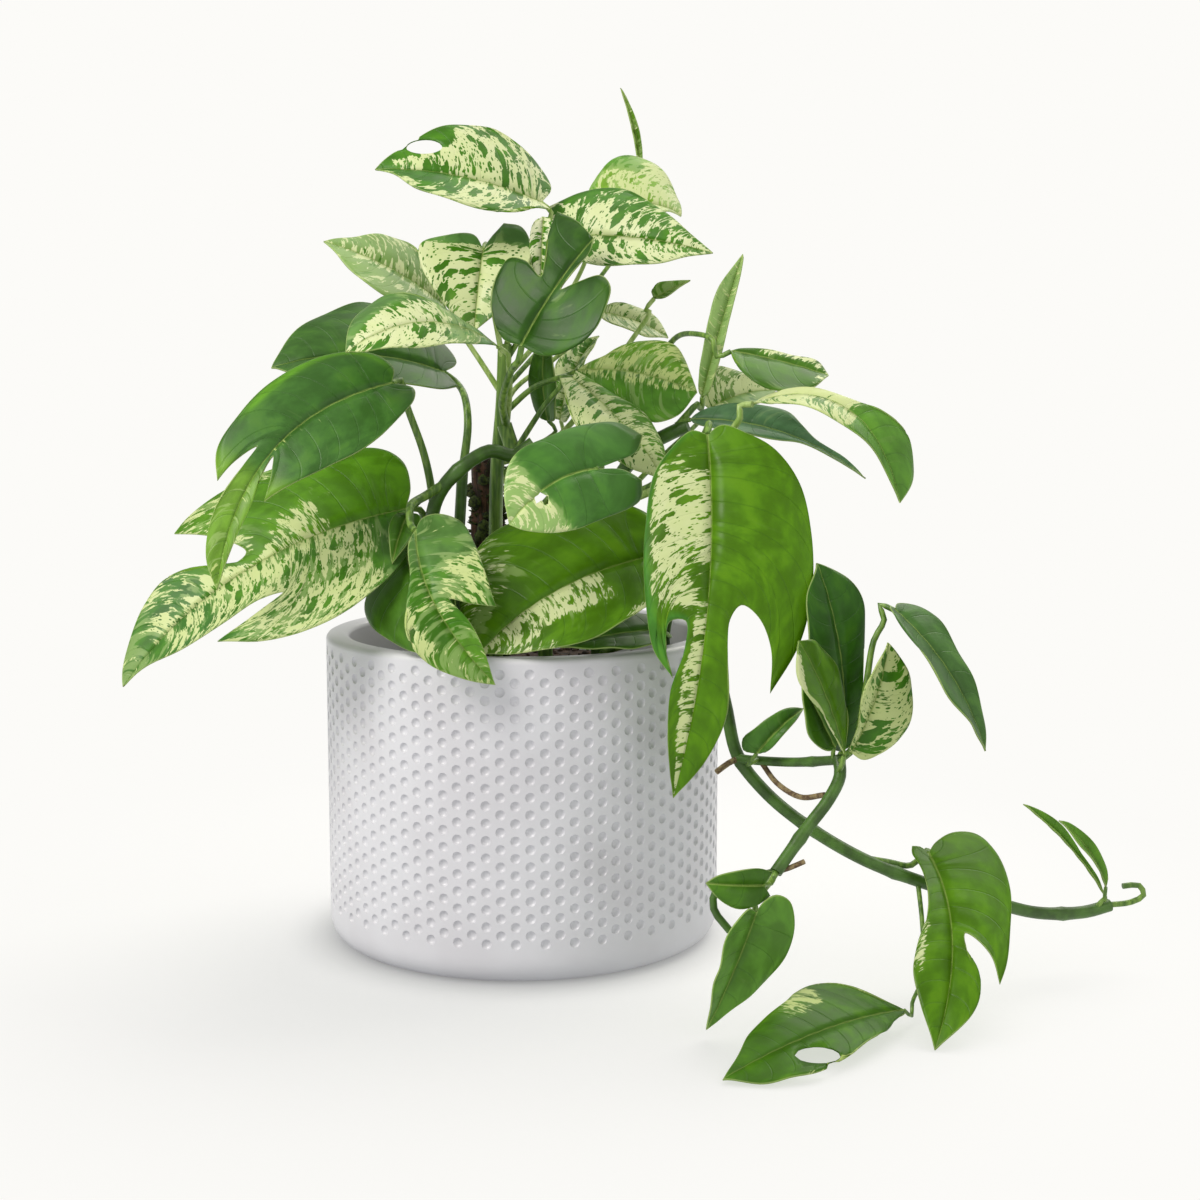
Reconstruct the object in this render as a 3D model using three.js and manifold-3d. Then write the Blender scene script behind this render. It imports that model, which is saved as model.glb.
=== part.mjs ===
// A marble king pothos in a dimpled ceramic cover pot.
// Millimetres, +Z up. The origin is the centre of the pot's flat foot and -Y is the front.
import * as THREE from 'three';
import { mergeVertices } from 'three/addons/utils/BufferGeometryUtils.js';
import Module from 'manifold-3d';

const wasm = await Module();
wasm.setup();

// Driving dimensions of the pot, the soil and the support.
const POT = { radius: 85, height: 133, innerRadius: 75, floor: 8, rim: 5, footRound: 9, footFlat: 74 };
const DIMPLES = {
  facets: 60, columns: 30, rows: 7, bottom: 24, pitch: 13.4, radius: 3.4, depth: 1.2, sides: 6,
};
const SOIL = { level: 116, crown: 3, gap: 0.3 };
const POLE = { x: -16, y: 16, radius: 8, foot: 60, top: 203, rise: 5 };

// A leaf blade is an even sheet; everything that touches keeps a small gap.
const BLADE = 0.8;
const GAP = 0.35;
const STALK_SIDES = 6;
const VINE_SIDES = 8;
const HOLE = { depth: 9, sides: 14 };

// How the veins leave the midrib and sweep forward to the margin.
const VEIN = { lag: 0.6, lean: 0.15, bow: 0.9, step: 0.02 };
// Unless a leaf is rolled, its upper face looks up and to the front.
const FACING = new THREE.Vector3(0, -0.6, 0.8);

const COLOURS = {
  glaze: { color: 0xd7d7d9, roughness: 0.45, metalness: 0 },
  soil: { color: 0x2a1c14, roughness: 1, metalness: 0 },
  moss: { color: 0x3d2f1c, roughness: 1, metalness: 0 },
  stem: { color: 0x4f7a35, roughness: 0.5, metalness: 0 },
  dark: { color: 0x3f7a3c, roughness: 0.4, metalness: 0 },
  green: { color: 0x55912a, roughness: 0.4, metalness: 0 },
  marbled: { color: 0xc3d58b, roughness: 0.45, metalness: 0 },
};

// Each leaf: where its stalk joins it, its tip, how it turns, bends and folds, its margin and its holes.
// A margin point is [along, across] on the flat blade, measured from the base beside the midrib.
// A third number is where the vein to that point leaves the midrib, a fourth how far it bows out.
// A hole is [along, across, half its length, half its width, its turn in degrees]; right of the midrib
// its across is below 0.
const LEAVES = {
  top_left: {
    finish: 'marbled', base: [9, -6, 315], tip: [-60, -14, 328],
    roll: -5, arch: 8, sweep: 4, fold: 15, curl: 15,
    left: [[-2, 5], [9, 12], [20, 21], [34, 23], [49, 17], [62, 6]],
    right: [[-5, 11], [0, 20], [9, 27], [23, 32], [40, 30], [54, 21.5], [65, 9]],
    holes: [[53, -13.2, 7.7, 4.4, 5]],
  },
  top_right: {
    finish: 'marbled', base: [19, -4, 301], tip: [80, -26, 293],
    roll: 15, arch: 4, fold: 15, curl: 10,
    left: [[-7, 6], [-12, 16], [1, 22], [19, 23], [37, 16], [54, 6]],
    right: [[-4, 8], [8, 16], [22, 20], [33, 20], [45, 15], [58, 6]],
  },
  top_pale: {
    finish: 'marbled', base: [34, 34, 313], tip: [70, 44, 313],
    arch: 6, fold: 15, curl: 10,
    left: [[-2, 12], [6, 24], [17, 33], [26, 30], [34, 20], [37, 9]],
    right: [[-1, 7], [10, 13], [24, 10]],
  },
  spear: {
    finish: 'green', base: [52, 68, 333], tip: [43, 68, 372],
    arch: -1, sweep: -2.5, fold: 30, curl: 10,
    left: [[8, 1.4], [18, 1.8], [28, 1.3]],
    right: [[8, 1.5], [18, 2], [28, 1.5]],
  },
  top_folded: {
    finish: 'marbled', base: [10, -20, 308], tip: [9, -26, 282],
    arch: 2, fold: 10, curl: 10,
    left: [[3, 5], [14, 4], [23, 3]],
    right: [[4, 4], [14, 5], [23, 3]],
  },
  heart: {
    finish: 'dark', base: [2, -54, 255], tip: [31, -42, 298],
    arch: 3, fold: 8, curl: 5,
    left: [[-1, 8], [4, 16], [12, 22], [21, 25], [29, 25], [31, 18], [28, 8], [36, 11], [46, 17],
      [56, 21], [56, 11]],
    right: [[0, 11], [5, 20], [17, 28, 4], [28, 27, 8], [36, 23, 11], [39, 15, 15], [32, 7, 19],
      [27, 3, 23],
      [36, 3, 33], [47, 3, 44]],
  },
  left_high: {
    finish: 'marbled', base: [-34, 6, 273], tip: [-83, -6, 299],
    arch: 6, sweep: 3, fold: 10, curl: 15,
    left: [[0, 8], [8, 14], [17, 17], [26, 21], [34, 20], [45, 11.5], [53, 4]],
    right: [[2, 6], [12, 13], [22, 20], [35, 17], [50, 6]],
  },
  left_veined: {
    finish: 'marbled', base: [-15, -18, 295], tip: [-18, -34, 261],
    arch: 3, fold: 15, curl: 15,
    left: [[-7, 3], [-14, 7], [-11, 15], [3, 21], [16, 19], [28, 12]],
    right: [[-6, 5], [-3, 17], [2, 26], [11, 25], [20, 20], [31, 10]],
  },
  left_marbled: {
    finish: 'marbled', base: [-8, -40, 255], tip: [-67, -62, 254],
    arch: 12, fold: 5, curl: 20, hook: 2,
    left: [[8, 6], [22, 14], [38, 16], [50, 12], [58, 6]],
    right: [[8, 2], [17, 6], [26, 14], [36, 21], [45, 23], [54, 18], [60, 9]],
  },
  left_dark: {
    finish: 'dark', base: [-34, 10, 244], tip: [-106, -8, 246],
    arch: 8, fold: 10, curl: 15,
    left: [[-5, 8], [5, 17], [22, 21], [45, 18], [56, 13], [66, 9]],
    right: [[-6, 9], [0, 22], [14, 33], [31, 38], [42, 34], [55, 25], [66, 14]],
  },
  left_cut: {
    finish: 'dark', base: [-51, -44, 240], tip: [-115, -92, 162],
    roll: -10, arch: 12, sweep: -14, fold: 10, curl: 20, hook: 2,
    left: [[-6, 5], [-4, 11], [5, 18], [18, 24], [32, 26], [47, 23], [61, 18], [77, 10, 44],
      [66, 7, 50], [58, 2, 55],
      [68, 3, 64], [80, 5, 74], [92, 4, 86], [104, 2, 98]],
    right: [[-3, 6], [-1, 13], [5, 19], [17, 23], [34, 23], [52, 21], [66, 19, 38], [76, 12, 44],
      [67, 10, 49],
      [58, 6, 54], [70, 6, 64], [88, 8, 80], [102, 6, 94]],
  },
  left_long: {
    finish: 'marbled', base: [-47, -34, 188], tip: [-161, -60, 119],
    arch: 10, sweep: -8, fold: 10, curl: 12, hook: 2,
    left: [[-2, 5], [0, 14], [4, 25], [14, 36], [32, 45], [48, 48], [64, 46], [80, 39, 34],
      [95, 25, 40, 1.7],
      [78, 26, 47, 1.3], [60, 24, 52], [70, 21, 60], [88, 20, 76], [108, 14, 98], [125, 4, 120]],
    right: [[-4, 10], [-4, 26], [4, 38], [22, 44], [42, 47], [61, 47], [76, 44, 34], [84, 40, 42],
      [72, 24, 50],
      [65, 8, 58], [71, 6, 65], [84, 14, 74], [96, 21, 80], [109, 18, 94], [121, 12, 112], [130, 6, 124]],
  },
  left_small: {
    finish: 'dark', base: [-45, -48, 187], tip: [-50, -62, 168],
    arch: 2, fold: 20,
    left: [[1, 5], [5, 8], [12, 7]],
    right: [[2, 4], [9, 5], [16, 3]],
  },
  rim_dark: {
    finish: 'dark', base: [-46, -44, 173], tip: [-27, -84, 137],
    roll: 40, arch: 5, fold: 5, curl: 10, hook: 2,
    left: [[1, 8], [10, 14], [25, 17], [42, 15], [54, 7]],
    right: [[-1, 9], [4, 18], [14, 26], [26, 25], [38, 20], [50, 12]],
  },
  rim_cut: {
    finish: 'marbled', base: [-40, -66, 182], tip: [-7, -96, 126],
    roll: 10, arch: 8, sweep: -8, fold: 10, curl: 15, hook: 4,
    left: [[-5, 3], [-6, 10], [-1, 19], [13, 23], [33, 23], [50, 20, 24], [43, 13, 28], [36, 6, 32],
      [48, 8, 42],
      [60, 6, 55]],
    right: [[7, 3], [22, 5], [34, 11], [43, 16], [52, 15], [63, 8]],
    holes: [[42.3, -13.6, 3, 1.3, -32]],
  },
  centre_round: {
    finish: 'dark', base: [32, -74, 207], tip: [-1, -98, 187],
    roll: -30, arch: 3, sweep: -4, fold: 5, curl: 25,
    left: [[-11, 2], [-18, 7], [-15, 15], [-5, 19], [10, 21], [26, 20], [38, 14], [44, 6]],
    right: [[-9, 2], [-20, 5], [-26, 12], [-18, 19], [-5, 20], [12, 18], [27, 17], [38, 9]],
    holes: [[29.5, 3, 3.4, 2.4, -35]],
  },
  centre_wide: {
    finish: 'green', base: [54, -50, 170], tip: [-15, -80, 136],
    arch: 4, sweep: -4, fold: 10, curl: 15, hook: 3,
    left: [[-3, 10], [4, 20], [16, 28], [30, 31], [44, 31], [60, 26], [74, 13]],
    right: [[-8, 8], [-8, 22], [0, 34], [14, 41], [30, 44], [46, 44], [61, 36], [74, 20]],
  },
  low_dark: {
    finish: 'dark', base: [59, -52, 140], tip: [18, -78, 137],
    arch: 2, fold: 5, curl: 10,
    left: [[3, 6], [12, 10], [28, 9], [40, 5]],
    right: [[0, 8], [12, 12], [25, 10], [38, 6]],
  },
  big_cut: {
    finish: 'green', base: [76, -66, 220], tip: [62, -92, 79],
    arch: 12, sweep: 7, fold: 5, curl: 15, hook: 2,
    left: [[-3, 6], [1, 15], [8, 26], [21, 35], [38, 39], [58, 40], [78, 37, 34], [98, 28, 42, 1.3],
      [82, 26, 49, 1.15], [71, 20, 55], [67, 13, 60], [73, 9, 67], [88, 10, 82], [108, 13, 98],
      [126, 9, 118]],
    right: [[-2, 6], [3, 13], [15, 22], [38, 26], [55, 26], [70, 24, 38], [88, 19, 46], [98, 10, 52, 3],
      [88, 14, 58, 1.4], [76, 14, 64, 1.1], [75, 8, 70], [87, 7, 80], [104, 10, 95], [120, 8, 112],
      [134, 4, 129]],
  },
  mid_upper: {
    finish: 'marbled', base: [24, -12, 245], tip: [74, -26, 236],
    roll: 10, arch: 5, fold: [10, -15], curl: 0,
    left: [[4, 3], [12, 7], [20, 14], [29, 17], [38, 17], [43, 13], [48, 6]],
    right: [[6, 6], [16, 13], [30, 18], [41, 20], [49, 13]],
  },
  mid_lower: {
    finish: 'marbled', base: [22, -28, 242], tip: [60, -51, 203],
    roll: -8, arch: 3, fold: 5, curl: 20, hook: 3,
    left: [[-2, 4], [8, 6], [20, 9], [32, 12], [42, 11], [51, 7]],
    right: [[-2, 5], [6, 10], [14, 15], [24, 19], [38, 18], [50, 11]],
  },
  centre_back: {
    finish: 'dark', base: [11, 4, 223], tip: [10, -2, 258],
    roll: -50, arch: 2, fold: 8, curl: 20,
    left: [[2, 5], [9, 8], [18, 8], [28, 6]],
    right: [[2, 6], [10, 8], [19, 9], [28, 7]],
  },
  mid_back: {
    finish: 'marbled', base: [16, 18, 223], tip: [33, 30, 260],
    roll: -38, arch: 4, fold: 12, curl: 20,
    left: [[2, 6], [10, 9], [21, 13], [32, 13]],
    right: [[-1, 6], [5, 13], [13, 13], [24, 9], [34, 6]],
  },
  back_pale: {
    finish: 'marbled', base: [35, 26, 270], tip: [64, 34, 259],
    arch: 2, fold: 12, curl: 16,
    left: [[1, 4], [7, 8], [16, 9], [26, 6]],
    right: [[-1, 5], [4, 10], [14, 12], [25, 7]],
  },
  edge_on: {
    finish: 'green', base: [57, 14, 276], tip: [73, 22, 284],
    fold: 10, curl: 10,
    left: [[2, 4], [6, 6], [12, 4]],
    right: [[2, 3], [7, 3], [14, 1]],
  },
  right_flag: {
    finish: 'dark', base: [87, -36, 253], tip: [127, -38, 243],
    roll: -5, arch: 1, fold: 8, curl: 20,
    left: [[5, 3], [14, 5], [26, 6], [36, 6]],
    right: [[3, 8], [10, 17], [18, 22], [26, 22], [36, 13]],
  },
  right_back: {
    finish: 'marbled', base: [81, 14, 228], tip: [111, 22, 236],
    arch: 3, fold: 12, curl: 5,
    left: [[-1, 6], [4, 13], [11, 19], [18, 15], [25, 7]],
    right: [[0, 5], [7, 10], [15, 12], [24, 8]],
  },
  right_tail: {
    finish: 'dark', base: [71, -30, 225], tip: [143, -38, 201],
    arch: 9, fold: 10, curl: 10,
    left: [[3, 4], [10, 8], [22, 11], [36, 12], [44, 7], [52, 3], [66, 2]],
    right: [[3, 4], [12, 7], [27, 9], [38, 6], [46, 3], [60, 2]],
  },
  right_upright: {
    finish: 'green', base: [76, -26, 234], tip: [93, -18, 293],
    arch: 2, fold: 30, curl: 30,
    left: [[2, 2], [10, 4], [20, 5], [32, 6], [44, 6], [54, 3]],
    right: [[3, 3], [12, 4], [24, 4], [40, 3], [54, 2]],
  },
  right_arch: {
    finish: 'marbled', base: [95, -52, 232], tip: [152, -80, 197],
    roll: -10, arch: 21, fold: 10, curl: 20, hook: 4,
    left: [[5, 4], [16, 5], [30, 5], [40, 7], [50, 13], [60, 18], [68, 13]],
    right: [[3, 4], [14, 12], [27, 14], [38, 12], [48, 10], [58, 6], [67, 3]],
  },
  hang_dark: {
    finish: 'dark', base: [128, -93, 98], tip: [118, -85, 171],
    roll: 30, arch: 6, fold: 13, curl: 30,
    left: [[3, 7], [14, 13], [29, 17], [47, 17], [62, 12]],
    right: [[4, 5], [18, 8], [32, 10], [45, 14], [56, 16], [66, 12]],
  },
  hang_light: {
    finish: 'green', base: [126, -116, 101], tip: [108, -116, 145],
    roll: 37, arch: 2, fold: 10, curl: 10,
    left: [[5, 4], [17, 10], [26, 16], [34, 21], [43, 16]],
    right: [[5, 3], [14, 10], [25, 14], [34, 14], [43, 10]],
  },
  hang_shade: {
    finish: 'dark', base: [123, -109, 103], tip: [110, -112, 129],
    fold: 10, curl: 20,
    left: [[0, 3], [4, 7], [10, 9], [18, 7], [24, 4]],
    right: [[1, 3], [7, 5], [14, 5], [21, 3]],
  },
  hang_marbled: {
    finish: 'marbled', base: [129, -110, 101], tip: [143, -108, 143],
    roll: 60, arch: 3, fold: 15, curl: 5,
    left: [[3, 3], [12, 6], [21, 10], [29, 11], [37, 5]],
    right: [[-1, 7], [5, 14], [14, 18], [25, 17], [34, 12], [40, 6]],
  },
  hang_far: {
    finish: 'dark', base: [147, -96, 154], tip: [180, -112, 102],
    roll: -30, arch: 6, sweep: -2, fold: 15, curl: 6,
    left: [[-2, 4], [2, 11], [10, 14], [24, 12], [40, 9], [54, 5]],
    right: [[-1, 4], [7, 11], [20, 18], [34, 20], [46, 15], [56, 6]],
  },
  hang_small: {
    finish: 'green', base: [95, -88, 96], tip: [114, -82, 113],
    roll: 20, arch: 7, fold: 10, curl: 10,
    left: [[-2, 5], [1, 8], [6, 7], [12, 6], [20, 4]],
    right: [[4, 3], [12, 3], [20, 2]],
  },
  trail_fold: {
    finish: 'dark', base: [91, -142, 48], tip: [73, -142, 3],
    roll: -60, arch: 1, fold: 15, curl: 5,
    left: [[-5, 2], [-8, 6], [-7, 12], [1, 17], [12, 18], [23, 15], [38, 6]],
    right: [[-1, 6], [6, 11], [14, 12], [24, 10], [36, 6]],
  },
  trail_flap: {
    finish: 'dark', base: [94, -138, 57], tip: [72, -146, 60],
    roll: -50, arch: 2, fold: 10, curl: 20,
    left: [[-3, 4], [4, 7.5], [12, 8.5], [19, 5]],
    right: [[-3, 5], [4, 6.5], [13, 5.5], [20, 3]],
  },
  trail_cut: {
    finish: 'green', base: [164, -84, 55], tip: [155, -157, 1],
    arch: 6, sweep: 7, fold: 8, curl: 12,
    left: [[-5, 5], [-8, 13], [-5, 21], [6, 25], [24, 25], [41, 22], [55, 20, 32], [63, 18, 37],
      [52, 14, 39.5],
      [43, 5, 42], [52, 5.5, 46], [64, 11, 52], [75, 10, 66]],
    right: [[-4, 2], [-5, 5], [-1, 6.5], [8, 6], [24, 7], [36, 9], [50, 13], [64, 14], [77, 9]],
  },
  floor: {
    finish: 'green', base: [148, -131, 7], tip: [76, -188, 2],
    roll: 15, arch: 5, fold: 5, curl: 10,
    left: [[4, 3], [13, 6], [22, 10.5], [38, 14.6], [51, 17.6], [60, 18.2], [67, 17.8], [74, 15.4],
      [82, 12]],
    right: [[3, 3], [8, 10], [13, 19], [20, 24], [28, 25], [37, 22.5], [45, 19], [58, 16], [70, 11.5],
      [81, 5]],
    holes: [[57.5, 11, 8.3, 5.1, -29]],
  },
  young_thin: {
    finish: 'green', base: [242, -58, 30], tip: [209, -50, 67],
    roll: 20, arch: 3, fold: 30, curl: 10,
    left: [[8, 1.5], [20, 2], [33, 4], [43, 2.5]],
    right: [[8, 1.5], [20, 2], [33, 4], [43, 2.5]],
  },
  young_wide: {
    finish: 'green', base: [240, -66, 36], tip: [220, -66, 64],
    roll: 20, arch: 3, fold: 20, curl: 10,
    left: [[8, 3], [15, 6], [24, 6], [31, 3]],
    right: [[4, 3], [12, 4.5], [22, 4], [31, 2]],
  },
};

// Every vine: the routes of its stems, and the stalks that grow from them to the foot of each blade.
// A route starts in the soil or inside what it grows from.
const VINES = {
  stem_middle: {
    stems: [{ radius: 3.0, route: [[-12, 4, 92], [-12, 3, 150], [-11, 0, 200], [-8, -4, 232],
      [-7, -4, 256]] }],
    stalks: {
      top_left: { radius: 1.4, route: [[-7, -4, 252], [0, -2, 280], [7, -3, 300]] },
      top_right: { radius: 1.3, route: [[-7, -4, 248], [6, 0, 270], [15, 2, 290]] },
      top_pale: { radius: 1.2, route: [[-8, -3, 240], [10, 14, 262], [28, 28, 295]] },
      spear: { radius: 1.2, route: [[-8, -3, 236], [14, 28, 262], [44, 58, 302]] },
      top_folded: { radius: 1.0, direct: true, route: [[-7, -4, 254], [2, -12, 282], [9, -17, 300]] },
      left_high: { radius: 1.3, route: [[-8, -4, 234], [-20, 2, 252], [-30, 6, 266]] },
      left_veined: { radius: 1.3, route: [[-7, -4, 244], [-10, -8, 262], [-14, -12, 285]] },
      mid_upper: { radius: 1.4, route: [[-8, -4, 226], [6, -11, 238], [17, -12, 242]] },
      centre_back: { radius: 1.2, route: [[-11, 0, 198], [2, 4, 210]] },
      mid_back: { radius: 1.2, route: [[-11, 1, 195], [2, 12, 206], [12, 16, 216]] },
      back_pale: { radius: 1.2, route: [[-9, -1, 222], [-4, 10, 236], [14, 18, 250], [30, 24, 265]] },
      edge_on: { radius: 1.4, route: [[-10, 0, 205], [10, 1, 212], [31, 4, 234], [46, 10, 256],
        [55, 14, 270]] },
    },
  },
  stem_front: {
    stems: [{ radius: 3.2, route: [[12, -14, 92], [8, -16, 150], [0, -16, 200], [-7, -12, 222]] }],
    stalks: {
      heart: { radius: 1.8, route: [[-6, -12, 221], [-7, -26, 232], [-2, -44, 246]] },
      left_marbled: { radius: 1.4, route: [[-6, -12, 222], [-4, -26, 238], [-4, -36, 249]] },
      centre_round: { radius: 1.6, route: [[4, -16, 182], [16, -33, 196], [28, -60, 205]] },
      mid_lower: { radius: 1.3, route: [[-3, -16, 210], [10, -18, 230], [18, -24, 240]] },
    },
  },
  stem_right: {
    stems: [{ radius: 3.0, route: [[34, -14, 92], [32, -14, 150], [34, -16, 184], [49, -22, 210],
      [63, -26, 219],
      [70, -28, 222]] }],
    stalks: {
      centre_wide: { radius: 1.6, route: [[32, -14, 130], [48, -30, 158], [56, -42, 167]] },
      low_dark: { radius: 1.2, route: [[32, -14, 124], [50, -32, 132], [60, -46, 138]] },
      right_flag: { radius: 1.5, route: [[34, -15, 180], [46, 2, 212], [57, 4, 244], [65, -6, 258],
        [73, -22, 260], [80, -33, 257]] },
      right_back: { radius: 1.3, route: [[34, -16, 182], [58, -4, 206], [76, 10, 222]] },
      right_tail: { radius: 1.4, route: [[63, -26, 218], [68, -28, 222]] },
      right_upright: { radius: 1.6, route: [[64, -26, 220], [70, -27, 227], [74, -26, 231]] },
      right_arch: { radius: 1.8, route: [[34, -17, 186], [60, -34, 198], [80, -44, 214], [90, -50, 226]] },
      big_cut: { radius: 1.9, route: [[36, -17, 188], [58, -30, 199], [73, -46, 215], [76, -57, 221]] },
    },
  },
  stem_arching: {
    stems: [{ radius: 2.9, route: [[-34, -18, 92], [-36, -24, 150], [-37, -30, 178], [-34, -36, 192],
      [-27, -40, 202],
      [-12, -36, 212], [-2, -32, 210], [6, -31, 215]] }],
    stalks: {
      left_cut: { radius: 1.9, route: [[-36, -26, 160], [-36, -30, 190], [-39, -34, 210],
        [-46, -38, 232]] },
      left_long: { radius: 1.7, route: [[-37, -29, 176]] },
      left_small: { radius: 1.0, route: [[-38, -43, 194]] },
      rim_dark: { radius: 1.3, route: [[-36, -22, 130], [-42, -32, 152], [-46, -38, 168]] },
      rim_cut: { radius: 2.0, route: [[-30, -39, 199], [-38, -43, 194], [-43, -52, 191], [-43, -58, 187]] },
    },
  },
  stem_short: {
    stems: [{ radius: 2.4, route: [[-28, -10, 92], [-28, -10, 150], [-25, -8, 205]] }],
    stalks: {
      left_dark: { radius: 1.9, route: [[-25, -8, 203], [-23, -4, 222], [-25, 4, 234]] },
    },
  },
  // The vine that climbs over the rim and hangs beside the pot, with its side branch and aerial roots.
  trailing_vine: {
    stems: [
      { radius: 3.0, route: [[60, -10, 92], [60, -14, 118], [62, -28, 143], [68, -48, 154], [76, -62, 144],
        [84, -66, 112], [89, -68, 91], [99, -72, 78], [114, -78, 66], [137, -84, 53], [162, -84, 43],
        [190, -80, 34],
        [211, -72, 27], [232, -64, 25], [243, -61, 27]] },
      { radius: 1.2, route: [[241, -61, 27], [252, -60, 28], [257, -60, 31], [255, -60, 35],
        [248, -61, 35]] },
      { radius: 2.2, route: [[89, -69, 90], [98, -78, 91], [110, -90, 93], [124, -105, 97]] },
      { radius: 2.8, route: [[125, -105, 98], [125, -110, 92], [120, -116, 84], [112, -121, 75],
        [99, -131, 60]] },
      { radius: 1.7, route: [[99, -130, 60], [88, -130, 57], [77, -130, 53], [76, -131, 46],
        [82, -133, 38]] },
      { radius: 1.2, route: [[89, -69, 90], [85, -73, 89], [80, -76, 86]] },
      { radius: 1.1, route: [[98, -78, 90], [103, -86, 84], [111, -98, 81], [119, -112, 85]] },
      { radius: 1.0, route: [[99, -131, 60], [104, -129, 61], [110, -127, 63]] },
    ],
    stalks: {
      hang_dark: { radius: 1.4, route: [[124, -105, 96], [127, -98, 93]] },
      hang_light: { radius: 1.2, route: [[125, -107, 97], [126, -111, 98]] },
      hang_shade: { radius: 1.1, route: [[125, -107, 95]] },
      hang_marbled: { radius: 1.2, route: [[125, -107, 97], [127, -108, 99]] },
      hang_far: { radius: 1.5, route: [[125, -106, 97], [131, -104, 102], [135, -101, 120], [139, -96, 142],
        [143, -95, 150]] },
      hang_small: { radius: 1.1, route: [[96, -77, 91], [95, -82, 92]] },
      trail_fold: { radius: 1.5, route: [[99, -131, 60], [94, -134, 54]] },
      trail_flap: { radius: 1.2, route: [[99, -131, 60], [98, -134, 59]] },
      trail_cut: { radius: 1.5, route: [[137, -84, 53], [148, -83, 51], [158, -80, 49]] },
      floor: { radius: 1.0, route: [[160, -84, 43], [160, -96, 30], [158, -112, 14], [152, -124, 7]] },
      young_thin: { radius: 1.1, route: [[236, -63, 25], [240, -60, 27]] },
      young_wide: { radius: 1.1, route: [[236, -63, 25], [240, -64, 31]] },
    },
  },
};

const vector = (point) => new THREE.Vector3(...point);
const pair = (value) => (Array.isArray(value) ? value : [value, value]);
const radians = THREE.MathUtils.degToRad;

/** Shared corners only, no flat triangles: a mesh that is ready to be one closed body. */
function closed(geometry) {
  geometry.deleteAttribute('normal');
  geometry.deleteAttribute('uv');
  const merged = mergeVertices(geometry, 1e-4);
  const index = [];
  for (let i = 0; i < merged.index.count; i += 3) {
    const [a, b, c] = [merged.index.getX(i), merged.index.getX(i + 1), merged.index.getX(i + 2)];
    if (a !== b && b !== c && c !== a) index.push(a, b, c);
  }
  merged.setIndex(index);
  return merged;
}

/** A closed geometry as a solid that can be joined or cut. */
function solid(geometry) {
  const merged = closed(geometry);
  const vertProperties = new Float32Array(merged.attributes.position.array);
  const triVerts = new Uint32Array(merged.index.array);
  return new wasm.Manifold(new wasm.Mesh({ numProp: 3, vertProperties, triVerts }));
}

/** A solid as a geometry again. */
function geometryOf(manifold) {
  const mesh = manifold.getMesh();
  const geometry = new THREE.BufferGeometry();
  geometry.setAttribute('position', new THREE.BufferAttribute(new Float32Array(mesh.vertProperties), 3));
  geometry.setIndex(Array.from(mesh.triVerts));
  return geometry;
}

/** Pieces grown into one, without the pinched hollows that can stay inside where they meet. */
function joined(geometries) {
  const whole = geometries.map(solid).reduce((sum, piece) => sum.add(piece));
  const outer = whole.decompose().filter((piece) => piece.volume() > 0);
  return geometryOf(outer.reduce((sum, piece) => sum.add(piece)));
}

/** A stem or stalk: a round section drawn along a smooth route. */
function tube(route, radius, sides) {
  const path = new THREE.CatmullRomCurve3(route, false, 'centripetal');
  const steps = Math.max(2, Math.round(path.getLength() / (radius < 2 ? 11 : 13)));
  const section = new THREE.Shape();
  section.absarc(0, 0, radius, 0, 2 * Math.PI);
  return new THREE.ExtrudeGeometry(section, { extrudePath: path, steps, curveSegments: sides / 2 });
}

/** The curved sheet of one leaf: its midrib in space and what lies across it. */
class Blade {
  constructor({ base, tip, roll = 0, arch = 0, sweep = 0, fold = 10, curl = 0, hook = 0 }) {
    this.base = vector(base);
    const axis = vector(tip).sub(this.base);
    this.length = axis.length();
    this.axis = axis.normalize();
    this.up = FACING.clone().addScaledVector(this.axis, -FACING.dot(this.axis)).normalize();
    this.up.applyAxisAngle(this.axis, radians(roll));
    this.left = this.up.clone().cross(this.axis);
    this.bend = this.up.clone().multiplyScalar(arch).addScaledVector(this.left, sweep);
    this.hook = hook;
    this.fold = pair(fold).map(radians);
    this.curl = radians(curl) / 30;
  }

  /** The midrib at u, from 0 at the base to 1 at the tip; straight on behind the base. */
  rib(u) {
    const rise = u > 0 ? 4 * u * (1 - u) : 4 * u;
    const droop = u > 0.6 ? ((u - 0.6) / 0.4) ** 2 : 0;
    const point = this.base.clone().addScaledVector(this.axis, this.length * u);
    return point.addScaledVector(this.bend, rise).addScaledVector(this.up, -this.hook * droop);
  }

  /** The point on the blade at a distance along the midrib and across it, left being positive. */
  point(along, across) {
    const u = along / this.length;
    const top = Math.min(u + 0.001, 1);
    const ahead = this.rib(top).sub(this.rib(top - 0.002)).normalize();
    const side = this.up.clone().cross(ahead).normalize();
    const normal = ahead.clone().cross(side);
    const out = Math.abs(across);
    const fold = this.fold[across >= 0 ? 0 : 1];
    const turn = fold - this.curl * out;
    const wide = this.curl ? (Math.sin(fold) - Math.sin(turn)) / this.curl : out * Math.cos(fold);
    const high = this.curl ? (Math.cos(turn) - Math.cos(fold)) / this.curl : out * Math.sin(fold);
    return this.rib(u).addScaledVector(side, Math.sign(across) * wide).addScaledVector(normal, high);
  }

  /** Where the stalk ends under the blade's base, and the way that it comes. */
  seat(radius) {
    const foot = this.base.clone().addScaledVector(this.up, -(BLADE / 2 + GAP + 0.6 * radius));
    const before = foot.clone().addScaledVector(this.up, -4).addScaledVector(this.axis, -5);
    return [before, foot];
  }
}

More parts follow.
